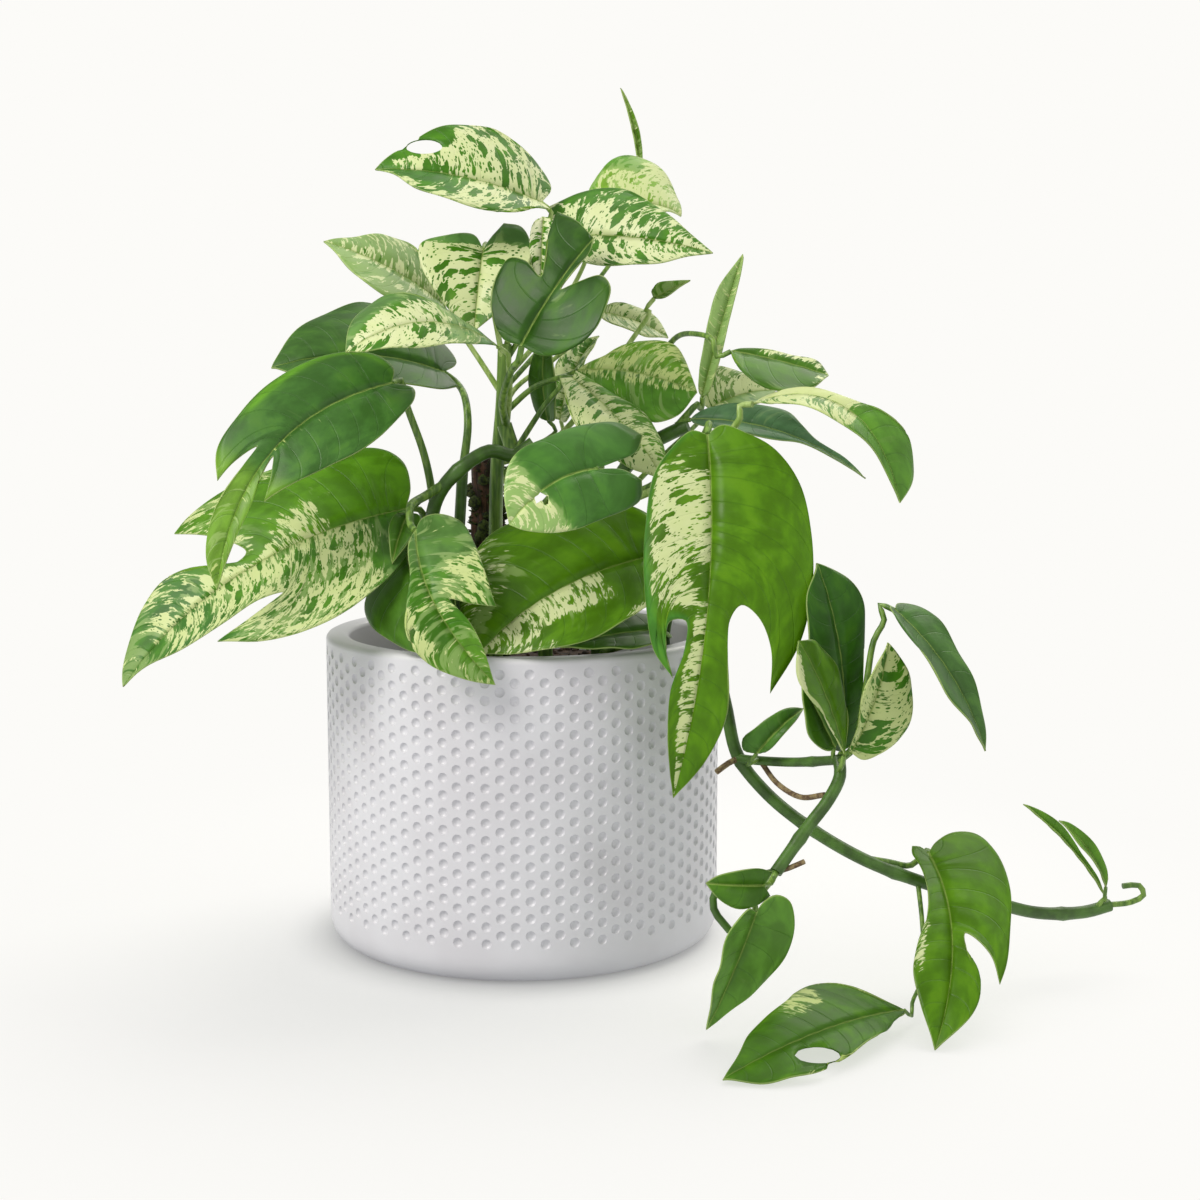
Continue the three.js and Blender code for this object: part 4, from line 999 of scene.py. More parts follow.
@dataclass(frozen=True)
class Grained(Finish):
    """A finish of one colour, with others where a grain is strong, and a fine relief.

    Args:
        base: the colour at the bottom, as sRGB.
        tones: the colours over it, each with the grain that brings it out.
        gloss: the roughness, or the grain that it moves with.
        relief: the grain that the surface rises with, how far in mm, and how strongly it shows.
        coat: the weight of a clear coat, with a roughness of 0.25.
    """

    base: str
    tones: tuple[tuple[str, Spread], ...]
    gloss: float | Spread
    relief: tuple[Grain, float, float] | None = None
    coat: float = 0.0

    def paint(self, tree: NodeTree) -> None:
        """Colour the shader and give it its gloss and relief.

        Args:
            tree: the material's tree.
        """
        shader = tree.nodes["Principled BSDF"]
        spot = add(tree, Kind.PLACE).outputs["Object"]
        spreads = [spread for _, spread in self.tones]
        if isinstance(self.gloss, Spread):
            spreads.append(self.gloss)
        grains = [spread.grain for spread in spreads]
        if self.relief:
            grains.append(self.relief[0])
        noises = {}
        for grain in dict.fromkeys(grains):
            tall = add(tree, Kind.STRETCH, spot, (1.0, 1.0, grain.upright))
            noises[grain] = add(tree, Kind.NOISE, tall, grain.density, grain.detail, grain.rough, grain.warp)
        rises = {}
        for spread in spreads:
            ends = (spread.low, spread.high, spread.start, spread.end)
            rises[spread] = add(tree, Kind.RISE, noises[spread.grain], *ends)
        colour = linear(self.base)
        for tone, spread in self.tones:
            colour = add(tree, Kind.BLEND, rises[spread], colour, linear(tone))
        feed(shader, {"Base Color": colour, "Roughness": rises.get(self.gloss, self.gloss)})
        if self.coat:
            feed(shader, {"Coat Weight": self.coat, "Coat Roughness": 0.25})
        if self.relief:
            grain, depth, strength = self.relief
            feed(shader, {"Normal": add(tree, Kind.BUMP, noises[grain], depth * MM, strength)})


# Smooth green skin, a little uneven in colour, with a satin gloss that shows that the stem is round and
# firm. Its pores are 1.1 mm, as coarse as they need to be to show. The thick vine is cloudy, in clouds of
# 7 mm, and the stalks have streaks of 2 mm along them.
PORES = Grain(900)
SATIN = Spread(PORES, 0.2, 0.8, 0.36, 0.5)
CLOUDS = Spread(Grain(140, 3.0), 0.35, 0.68)
STREAKS = Spread(Grain(520, 3.0, upright=0.08), 0.35, 0.68)
VINE_SKIN = Grained("vine_skin", "304f12", (("446b20", CLOUDS),), SATIN, (PORES, 0.1, 0.6))
STALK_SKIN = Grained("stalk_skin", "41651a", (("76983e", STREAKS),), SATIN, (PORES, 0.1, 0.6))
PALE_SKIN = Grained("pale_stalk_skin", "7f9f44", (("abc07a", STREAKS),), SATIN, (PORES, 0.1, 0.6))

# Dry aerial root: brown, rough and ringed every 2.4 mm, so that it reads as woody beside the green stem.
RINGS = Grain(420, 4.0, 0.65)
ROOT_SKIN = Grained(
    "aerial_root_skin", "4f3a25", (("8a7a55", Spread(RINGS, 0.35, 0.65)),), 0.75, (RINGS, 0.4, 1.0)
)

# Loose potting mix: nearly black crumbs of 4 mm with a few paler fibres, 1.4 mm wide, fully matt.
CRUMBS = Grain(260, 5.0, 0.7)
FIBRES = Grain(700, 2.0, 0.5, 1.5)
POTTING_MIX = Grained(
    "potting_mix", "1d130c", (("4a3524", Spread(CRUMBS, 0.35, 0.7)), ("8a6e4c", Spread(FIBRES, 0.66, 0.72))),
    0.95, (CRUMBS, 1.6, 1.0),
)

# Wet bark: dark brown with reddish grain, 2.4 mm wide and split lengthways.
SPLITS = Grain(420, 4.0, 0.6, 0.5, 0.22)
BARK = Grained("bark_grain", "1e1308", (("4a2e1c", Spread(SPLITS, 0.38, 0.62)),), 0.85, (SPLITS, 1.2, 1.0))

# Moss: soft olive tufts of 1.7 mm, dull, darker inside.
MOSS = Grained("moss_fibre", "10180a", (("45521c", Spread(Grain(600, 4.0, 0.6), 0.35, 0.65)),), 0.95)

# Satin white glaze: pale cool grey in clouds of 36 mm, with pits of 0.7 mm and a soft sheen on every dimple.
HAZE = Grain(28, 3.0)
GLAZE = Grained(
    "satin_white_glaze", "c4c4ca", (("cccdd3", Spread(HAZE, 0.3, 0.7)),), Spread(HAZE, 0.3, 0.7, 0.36, 0.46),
    (Grain(1400), 0.04, 0.5), coat=0.25,
)


@dataclass(frozen=True)
class StudioFloor(Finish):
    """Plain pale matt floor that glows evenly, fading into the backdrop, with a painted contact shadow round
    the pot.

    Its glow is 0.1 within 62 mm of the pot's middle and rises to 0.48 at 108 mm, so that it is darker round
    the pot's foot: painted shadow. It is all backdrop 380 mm from the middle.
    """

    name: str = "pale_studio_floor"
    base: str = "cbcccd"
    # The painted contact shadow round the pot: darkest within this reach of its middle, gone at the next.
    painted_shadow_core: float = 0.062
    painted_shadow_edge: float = 0.108
    fade_from: float = 0.10
    fade_to: float = 0.38

    def paint(self, tree: NodeTree) -> None:
        """Fade the floor outwards.

        Args:
            tree: the material's tree.
        """
        shader = tree.nodes["Principled BSDF"]
        away = add(tree, Kind.REACH, add(tree, Kind.PLACE).outputs["Object"])
        backdrop = linear(BACKDROP)
        feed(shader, {
            "Base Color": linear(self.base), "Roughness": 0.9, "Specular IOR Level": 0.1,
            "Emission Color": backdrop,
            # The glow dims near the pot: a painted contact shadow.
            "Emission Strength": add(tree, Kind.RISE, away, self.painted_shadow_core, self.painted_shadow_edge, 0.1, 0.48),
        })
        faded = add(tree, Kind.RISE, away, self.fade_from, self.fade_to)
        covered = add(tree, Kind.COVER, faded, shader, add(tree, Kind.GLOW, backdrop, 1.0))
        feed(tree.nodes["Material Output"], {"Surface": covered})


@dataclass(frozen=True)
class LeafSkin(Finish):
    """Living leaf tissue, marbled with cream along its veins.

    The eye gets crisp cream and pale sage streaks that fan out from the midrib, small green flecks in
    them, a pale midrib and margin, a soft satin gloss, some light that glows through the blade, and
    painted backlight: yellow-green blotches painted where light would shine through.

    Args:
        under: whether it is the paler, duller underside.
        patterns: noises on the vein map, whose unit is 100 mm: the cells in a unit across the veins, along
            them and through them, then detail, roughness and distortion.
        flecks: the same cells for the two sizes of fleck, and how far they reach.
    """

    under: bool = False
    patterns: tuple[tuple[str, Point, float, float, float], ...] = (
        ("streaks", (56, 13, 1), 3.0, 0.6, 0.8),  # about 2 mm wide and 8 mm long
        ("clouds", (15, 9, 1), 2.0, 0.5, 0.6),  # about 7 x 11 mm
        ("strokes", (140, 34, 1), 2.0, 0.5, 0.4),  # 0.7 x 3 mm
        ("sage", (34, 7, 3), 3.0, 0.5, 0.7),  # 3 x 14 mm
        ("ragged", (90, 40, 1), 2.0, 0.5, 0.0),  # 1.1 x 2.5 mm
        ("mottle", (9, 9, 1), 3.0, 0.6, 0.0),  # 11 mm
        ("pores", (90, 60, 1), 2.0, 0.5, 0.0),  # 1.1 x 1.7 mm
    )
    flecks: tuple[tuple[Point, float], ...] = (((34, 12, 1), 0.80), ((110, 48, 1), 0.46))

    def paint(self, tree: NodeTree) -> None:
        """Draw the marbling, then the veins and the rim, and let light through.

        Args:
            tree: the material's tree.
        """
        tissue = add(tree, Kind.LAYER, attribute_name="tissue")
        glow = tissue.outputs["Alpha"]
        marbling = add(tree, Kind.LAYER, attribute_name="marbling")
        cream_amount, sage_amount, fleck_amount = add(tree, Kind.PARTS, marbling).outputs
        veins = add(tree, Kind.MAP, uv_map="veins")
        noise = {}
        for name, cells, *rest in self.patterns:
            noise[name] = add(tree, Kind.NOISE, add(tree, Kind.STRETCH, veins, cells), 1.0, *rest)

        shape = add(tree, Kind.TIMES, add(tree, Kind.LESS, cream_amount, 0.5), 0.36)
        for name, weight in (("streaks", 0.5), ("clouds", 0.3), ("strokes", 0.2)):
            shape = add(tree, Kind.PLUS, shape, add(tree, Kind.TIMES, noise[name], weight))
        present = add(tree, Kind.RISE, cream_amount, 0.0, 0.08)
        cream = add(tree, Kind.TIMES, add(tree, Kind.RISE, shape, 0.494, 0.508), present)
        fringe = add(tree, Kind.TIMES, add(tree, Kind.RISE, shape, 0.455, 0.49), present)
        shape = add(tree, Kind.TIMES, add(tree, Kind.LESS, sage_amount, 0.5), 0.42)
        shape = add(tree, Kind.PLUS, noise["sage"], shape)
        present = add(tree, Kind.RISE, sage_amount, 0.05, 0.35)
        sage = add(tree, Kind.TIMES, add(tree, Kind.RISE, shape, 0.46, 0.55), present)
        fleck = self._fleck(tree, veins, noise["ragged"], fleck_amount)

        shade = add(tree, Kind.RISE, noise["mottle"], 0.36, 0.64, 0.74, 1.1)
        green = add(tree, Kind.TINT, 1.0, tissue, add(tree, Kind.JOIN, shade, shade, shade))
        # Painted backlight: where the mottle is high the green turns yellow-green, as if lit from behind,
        # more so on leaves that let more light through.
        painted_backlight = add(tree, Kind.TIMES, add(tree, Kind.RISE, noise["mottle"], 0.5, 0.72), glow)
        green = add(tree, Kind.BLEND, painted_backlight, green, linear("74a30a"))
        pale = add(tree, Kind.BLEND, 0.6, tissue, linear("a9c27c"))
        white = add(tree, Kind.BLEND, marbling.outputs["Alpha"], linear("e8eacb"), linear("b6c86c"))
        cloudy = add(tree, Kind.RISE, noise["clouds"], 0.3, 0.7, 0.0, 0.3)
        white = add(tree, Kind.BLEND, cloudy, white, linear("c2d584"))

        turn = add(tree, Kind.TIMES, add(tree, Kind.AXES, veins), 100 / VEIN_PITCH)
        away = add(tree, Kind.ABSOLUTE, add(tree, Kind.LESS, add(tree, Kind.FRACTION, turn), 0.5))
        vein = add(tree, Kind.RISE, away, 0.0, 0.045, 1.0, 0.0)
        along, across, _ = add(tree, Kind.AXES, add(tree, Kind.MAP, uv_map="flat")).outputs
        width = add(tree, Kind.PLUS, add(tree, Kind.ABSOLUTE, across), add(tree, Kind.TIMES, along, 0.004))
        midrib = add(tree, Kind.RISE, width, 0.003, 0.0075, 1.0, 0.0)
        edge = add(tree, Kind.LAYER, attribute_name="edge").outputs["Fac"]
        rim = add(tree, Kind.RISE, edge, 0.1, 0.5, 1.0, 0.0)
        colour = green
        for cover, weight, tone in (
            (vein, 0.26, linear("a9c088" if self.under else "2c5614")),
            (sage, 0.75, pale),
            (fringe, 0.3, pale),
            (cream, 1.0, white),
            (fleck, 1.0, green),
            (midrib, 0.6, linear("9db860")),
            (rim, 0.5, linear("b4c97c")),
        ):
            colour = add(tree, Kind.BLEND, add(tree, Kind.TIMES, cover, weight), colour, tone)
        if self.under:
            colour = add(tree, Kind.BLEND, 0.3, colour, linear("8cb038"))
        gloss = 0.6 if self.under else add(tree, Kind.RISE, noise["mottle"], 0.3, 0.7, 0.33, 0.46)
        height = add(tree, Kind.LESS, add(tree, Kind.TIMES, noise["pores"], 0.35), vein)
        shader = tree.nodes["Principled BSDF"]
        feed(shader, {
            "Base Color": colour, "Roughness": gloss, "Specular IOR Level": 0.08 if self.under else 0.25,
            "Normal": add(tree, Kind.BUMP, height, 0.14 * MM, 0.7),
        })
        sheer = add(tree, Kind.RISE, cream, 0.0, 1.0, 0.5, 0.2)
        tint = add(tree, Kind.BLEND, sheer, colour, linear("b9d820"))
        lit = add(tree, Kind.COVER, glow, shader, add(tree, Kind.THROUGH, tint))
        feed(tree.nodes["Material Output"], {"Surface": lit})

    def _fleck(self, tree: NodeTree, veins: Node, ragged: Node, amount: NodeSocket) -> Node:
        """Draw the green flecks in the cream: some of about 3 x 8 mm and many dots of about 1 x 2 mm.

        Args:
            tree: the material's tree.
            veins: the vein map.
            ragged: the noise that makes their edges ragged.
            amount: how much of the place is fleck.

        Returns:
            The node whose value is 1 in a fleck.
        """
        ragged = add(tree, Kind.TIMES, ragged, 0.7)
        layers = []
        for scale, share in self.flecks:
            spot = add(tree, Kind.SHIFT, add(tree, Kind.STRETCH, veins, scale), ragged)
            cells = add(tree, Kind.CELLS, spot, 1.0, 1.0)
            size = add(tree, Kind.TIMES, add(tree, Kind.PARTS, cells.outputs["Color"]), amount)
            depth = add(tree, Kind.LESS, add(tree, Kind.TIMES, size, share), cells)
            layers.append(add(tree, Kind.RISE, depth, -0.02, 0.03))
        return add(tree, Kind.LARGER, *layers)


def finished(source: Mesh | BMesh, name: str, *finishes: Finish) -> Object:
    """Put a finished piece in the scene, smooth shaded, on the one body of the part.

    Args:
        source: its mesh, or the bmesh that becomes its mesh, in metres where the piece stands.
        name: the piece's name.
        finishes: its finishes in the order of their slots, or none where the mesh has its materials.

    Returns:
        The piece.
    """
    mesh = source
    if isinstance(source, BMesh):
        mesh = bpy.data.meshes.new(name)
        source.to_mesh(mesh)
        source.free()
    piece = bpy.data.objects.new(name, mesh)
    bpy.context.scene.collection.objects.link(piece)
    for finish in finishes:
        mesh.materials.append(bpy.data.materials.get(finish.name) or finish.make())
    mesh.polygons.foreach_set("use_smooth", [True] * len(mesh.polygons))
    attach(piece, "root")
    return piece


def grow(bm: BMesh, edges: list[BMEdge]) -> tuple[list[BMVert], list[BMEdge]]:
    """Extrude a ring of edges, without moving it yet.

    Args:
        bm: the mesh.
        edges: the ring.

    Returns:
        The new ring's vertices and edges.
    """
    grown = bmesh.ops.extrude_edge_only(bm, edges=edges)["geom"]
    ring = [item for item in grown if isinstance(item, BMVert)]
    return ring, [item for item in grown if isinstance(item, BMEdge)]


def edges_of(verts: list[BMVert]) -> list[BMEdge]:
    """List the edges that meet some vertices."""
    return list({edge for vert in verts for edge in vert.link_edges})


@dataclass
class PotBuilder:
    """The ceramic pot with its net of round dimples. Sizes are in mm."""

    radius: float = 85.0
    columns: int = 90
    rows: int = 16
    pitch: float = 7.05
    bottom: float = 14.0
    dimple: float = 2.1
    # The rings of a dimple from its crisp edge inwards: the share of its radius, and the depth.
    rings: tuple[tuple[float, float], ...] = ((1.0, 0.0), (0.84, 0.6), (0.5, 1.1))
    # Profiles from the dimples on, as (radius, height): over the rim to the pot's floor, and round the foot.
    rim: tuple[tuple[float, float], ...] = (
        (85, 130.6), (84.8, 131.5), (84.2, 132.3), (83.2, 132.8), (81.8, 133), (78.2, 133), (76.8, 132.8),
        (75.8, 132.3), (75.2, 131.5), (75, 130.6), (75, 100), (75, 12), (73, 8.6), (68, 8),
    )
    foot: tuple[tuple[float, float], ...] = (
        (85, 12), (84.9, 9), (84.2, 6), (82.8, 3.4), (80.6, 1.4), (77.6, 0.3), (74, 0),
    )
    # Points of the wall this close are one, and an end of the wall is this close to its height.
    weld: float = 0.02
    near: float = 0.2

    def build(self) -> Iterator[Object]:
        """Make the pot that stands for the CAD pot.

        Returns:
            The pot.
        """
        bm = bmesh.new()
        wide = 2 * math.pi * self.radius / self.columns
        half = self.pitch / 2
        top = self.bottom + self.rows * self.pitch
        for column in range(2):
            x = column * wide
            for row in range(self.rows):
                self._tile(bm, x, self.bottom + half * (1 + column) + row * self.pitch, wide, True)
            self._tile(bm, x, (self.bottom if column else top) + half / 2, wide, False)
        for vert in bm.verts:
            angle = vert.co.x / self.radius
            reach = self.radius + vert.co.y
            vert.co = Vector((math.sin(angle) * reach, -math.cos(angle) * reach, vert.co.z)) * MM
        pairs = self.columns // 2
        bmesh.ops.spin(
            bm, geom=[*bm.verts, *bm.edges, *bm.faces], cent=(0, 0, 0), axis=(0, 0, 1), dvec=(0, 0, 0),
            angle=2 * math.pi * (pairs - 1) / pairs, steps=pairs - 1, use_duplicate=True,
        )
        bmesh.ops.remove_doubles(bm, verts=bm.verts, dist=self.weld * MM)
        self._extend(bm, top + half, self.rim)
        self._extend(bm, self.bottom, self.foot)
        bmesh.ops.recalc_face_normals(bm, faces=bm.faces)
        piece = finished(bm, "ceramic_pot", GLAZE)
        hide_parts("pot")
        yield piece

    def _tile(self, bm: BMesh, x: float, z: float, wide: float, dimpled: bool) -> None:
        """Add one tile of the wall, laid out flat, with y as the height above the wall.

        Args:
            bm: the mesh.
            x: its middle, measured round the wall.
            z: the height of its middle.
            wide: its width.
            dimpled: whether it has a dimple. One without is half as tall and ends the column.
        """
        tall = self.pitch if dimpled else self.pitch / 2
        border = self._border(wide / 2, tall / 2, 4 if dimpled else 2)
        made = bmesh.ops.create_circle(bm, segments=len(border), radius=1.0)["verts"]
        for vert, (across, up) in zip(made, border):
            vert.co = Vector((x + across, 0.0, z + up))
        edges = edges_of(made)
        angles = [math.atan2(up, across) for across, up in border]
        for share, depth in self.rings if dimpled else ():
            ring, edges = grow(bm, edges)
            for vert in ring:
                angle = math.atan2(vert.co.z - z, vert.co.x - x)
                near = min(angles, key=lambda a: abs(math.remainder(a - angle, 2 * math.pi)))
                reach = self.dimple * share
                vert.co = Vector((x + reach * math.cos(near), -depth, z + reach * math.sin(near)))
            for edge in edges:
                edge.smooth = depth > 0
        bmesh.ops.contextual_create(bm, geom=edges)

    @staticmethod
    def _border(across: float, up: float, steps: int) -> list[tuple[float, float]]:
        """List the corners round a tile, with the points where its neighbours' corners meet it.

        Args:
            across: half the tile's width.
            up: half its height.
            steps: the number of parts in an upright side.

        Returns:
            The points from the lower left corner on, in turn.
        """
        level = [across * i / 2 - across for i in range(4)]
        upright = [up * i * 2 / steps - up for i in range(steps)]
        return [
            *((x, -up) for x in level),
            *((across, z) for z in upright),
            *((-x, up) for x in level),
            *((-across, -z) for z in upright),
        ]

    def _extend(self, bm: BMesh, start: float, profile: tuple[tuple[float, float], ...]) -> None:
        """Carry the wall on from one of its ends, ring by ring, and close it.

        Args:
            bm: the mesh.
            start: the height of that end.
            profile: the radius and height of each ring.
        """
        near = self.near * MM
        ends = [edge for edge in bm.edges if edge.is_boundary]
        edges = [edge for edge in ends if all(abs(vert.co.z - start * MM) < near for vert in edge.verts)]
        for reach, height in profile:
            ring, edges = grow(bm, edges)
            for vert in ring:
                way = Vector((vert.co.x, vert.co.y)).normalized() * (reach * MM)
                vert.co = Vector((way.x, way.y, height * MM))
        bmesh.ops.contextual_create(bm, geom=edges)


@dataclass
class GroundBuilder:
    """The soil's finish and loose crumbs, and the stub of bark with moss on it. Sizes are in mm."""

    crumbs: int = 420
    crumb: tuple[float, float] = (0.9, 2.6)
    reach: float = 72.0
    # The soil's height in the middle, and how much lower it is at that reach.
    level: float = 119.0
    dish: float = 4.0
    segments: int = 28
    steps: int = 46
    # The bark's mean radius, its ridges and its grain, as shares of the stub's CAD radius, and its torn top.
    girth: float = 0.86
    ridges: float = 0.10
    grain: tuple[float, float] = (-0.05, 0.04)
    torn: float = 4.0
    # Lumps and tufts of moss: how many, the height that they start at, their sizes, and a tuft's two radii.
    lumps: int = 110
    lumps_from: float = 117.0
    lump: tuple[float, float] = (1.5, 3.5)
    tufts: int = 420
    tufts_from: float = 122.0
    tuft: tuple[float, float] = (3.0, 6.0)
    blade: tuple[float, float] = (1.1, 0.2)

    def build(self) -> Iterator[Object]:
        """Give the soil its grain and crumbs, and make the stub that stands for the CAD one.

        Returns:
            The soil, its crumbs and the stub.
        """
        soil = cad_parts["soil"]
        soil.data.materials.clear()
        soil.data.materials.append(POTTING_MIX.make())
        yield soil
        yield self._crumbs()
        yield self._stub()

    def _crumbs(self) -> Object:
        """Strew loose lumps of mix, half sunk in the soil.

        Returns:
            The crumbs as one piece.
        """
        chance = random.Random(11)
        bm = bmesh.new()
        for _ in range(self.crumbs):
            angle = chance.uniform(0, 2 * math.pi)
            reach = self.reach * math.sqrt(chance.random())
            size = chance.uniform(*self.crumb)
            level = self.level - self.dish * reach / self.reach
            spot = Vector((reach * math.cos(angle), reach * math.sin(angle), level))
            place = Matrix.Translation(spot * MM)
            turn = chance.uniform(0, 3)
            turn = Matrix.Rotation(turn, 4, Vector((chance.random(), chance.random(), 0.3)).normalized())
            shape = Matrix.Diagonal((1, chance.uniform(0.6, 1), chance.uniform(0.4, 0.8), 1))
            bmesh.ops.create_icosphere(bm, subdivisions=1, radius=size * MM, matrix=place @ turn @ shape)
        piece = finished(bm, "soil_crumbs", POTTING_MIX)
        return piece

    def _stub(self) -> Object:
        """Shape the stub with its lumps and tufts of moss.

        Returns:
            The stub.
        """
        chance = random.Random(5)
        low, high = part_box("moss_pole")
        middle = (low + high) / 2
        radius = (high.x - low.x) / 2
        bm = bmesh.new()
        foot = Matrix.Translation((middle.x, middle.y, low.z))
        ring = bmesh.ops.create_circle(bm, segments=self.segments, radius=radius, matrix=foot)["verts"]
        edges = edges_of(ring)
        for step in range(1, self.steps + 1):
            ring, edges = grow(bm, edges)
            z = mix(low.z, high.z - self.torn * MM, step / self.steps)
            for vert in ring:
                angle = math.atan2(vert.co.y - middle.y, vert.co.x - middle.x)
                ridge = self.ridges * math.sin(7 * angle + 30 * z) * math.cos(90 * z)
                rough = self.girth + ridge + chance.uniform(*self.grain)
                top = chance.uniform(-self.torn, self.torn) * MM if step == self.steps else 0.0
                out = Vector((math.cos(angle), math.sin(angle), 0)) * (radius * rough)
                vert.co = Vector((middle.x, middle.y, z + top)) + out
        bmesh.ops.contextual_create(bm, geom=edges)
        for _ in range(self.lumps):
            angle = chance.uniform(0, 2 * math.pi)
            z = mix(self.lumps_from * MM, high.z - 6 * MM, chance.random() ** 1.3)
            out = Vector((math.cos(angle), math.sin(angle), 0)) * radius * chance.uniform(0.75, 1.1)
            place = Matrix.Translation(Vector((middle.x, middle.y, z)) + out)
            size = chance.uniform(*self.lump) * MM
            self._moss(bmesh.ops.create_icosphere(bm, subdivisions=1, radius=size, matrix=place))
        for _ in range(self.tufts):
            angle = chance.uniform(0, 2 * math.pi)
            z = mix(self.tufts_from * MM, high.z - 3 * MM, chance.random() ** 0.7)
            out = Vector((math.cos(angle), math.sin(angle), chance.uniform(0.1, 0.9))).normalized()
            root = Vector((middle.x, middle.y, z)) + Vector((out.x, out.y, 0)) * radius * 0.85
            place = Matrix.Translation(root) @ out.to_track_quat("Z", "Y").to_matrix().to_4x4()
            thick, thin = self.blade
            self._moss(bmesh.ops.create_cone(
                bm, cap_ends=True, segments=4, radius1=thick * MM, radius2=thin * MM,
                depth=chance.uniform(*self.tuft) * MM, matrix=place,
            ))
        bmesh.ops.recalc_face_normals(bm, faces=bm.faces)
        piece = finished(bm, "bark_stub", BARK, MOSS)
        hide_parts("moss_pole")
        return piece

    @staticmethod
    def _moss(made: dict[str, list[BMVert]]) -> None:
        """Give the moss's slot to the faces that an operator has just made."""
        for face in {face for vert in made["verts"] for face in vert.link_faces}:
            face.material_index = 1


@dataclass
class StemBuilder:
    """The smooth stems, stalks and aerial roots of each vine. Sizes are in mm."""

    skins: tuple[Finish, ...] = (VINE_SKIN, STALK_SKIN, ROOT_SKIN, PALE_SKIN)
    step: float = 3.0
    # The share of its radius that a stalk keeps at its leaf.
    taper: float = 0.72
    # A main stem swells by this share at a joint, every so many steps, if it is thicker than this.
    swell: float = 0.16
    joint: int = 13
    jointed: float = 1.7

    def build(self) -> Iterator[Object]:
        """Make each vine with its stalks as one piece that stands for the CAD vine.

        Returns:
            The vines.
        """
        skins = [skin.make() for skin in self.skins]
        for name, vine in VINES.items():
            curve = bpy.data.curves.new(name, "CURVE")
            curve.dimensions = "3D"
            curve.bevel_depth = 1.0
            curve.bevel_resolution = 4
            curve.use_fill_caps = True
            for skin in skins:
                curve.materials.append(skin)
            for tube in vine.stems:
                slim = vine.slim if tube.skin is Skin.VINE else 1.0
                self._draw(curve, [*map(Vector, tube.route)], tube.radius * slim, tube.skin)
            for leaf, tube in vine.stalks.items():
                seat = Blade(LEAVES[leaf]).seat(tube.radius)[1 if tube.direct else 0 :]
                self._draw(curve, [*map(Vector, tube.route), *seat], tube.radius, tube.skin, self.taper)
            drawn = bpy.data.objects.new(name, curve)
            mesh = bpy.data.meshes.new_from_object(drawn)
            bpy.data.objects.remove(drawn)
            piece = finished(mesh, f"{name}_finished")
            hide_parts(name)
            yield piece

    def _draw(
        self, curve: Curve, points: list[Vector], radius: float, skin: Skin, taper: float = 1.0
    ) -> None:
        """Add one round tube along a route.

        Args:
            curve: the vine's curve.
            points: the places that the tube passes through.
            radius: its radius at its start.
            skin: its skin.
            taper: the share of that radius that it has at its end.
        """
        samples = smooth_route(points, self.step)
        spline = curve.splines.new("POLY")
        spline.points.add(len(samples) - 1)
        spline.material_index = skin.value
        spline.use_smooth = True
        swell = self.swell if skin is Skin.VINE and radius > self.jointed else 0.0
        for i, ((spot, _), point) in enumerate(zip(samples, spline.points)):
            joint = max(0.0, math.cos(2 * math.pi * i / self.joint)) ** 12
            point.co = (*(spot * MM), 1.0)
            point.radius = radius * MM * mix(1.0, taper, i / (len(samples) - 1)) * (1 + swell * joint)


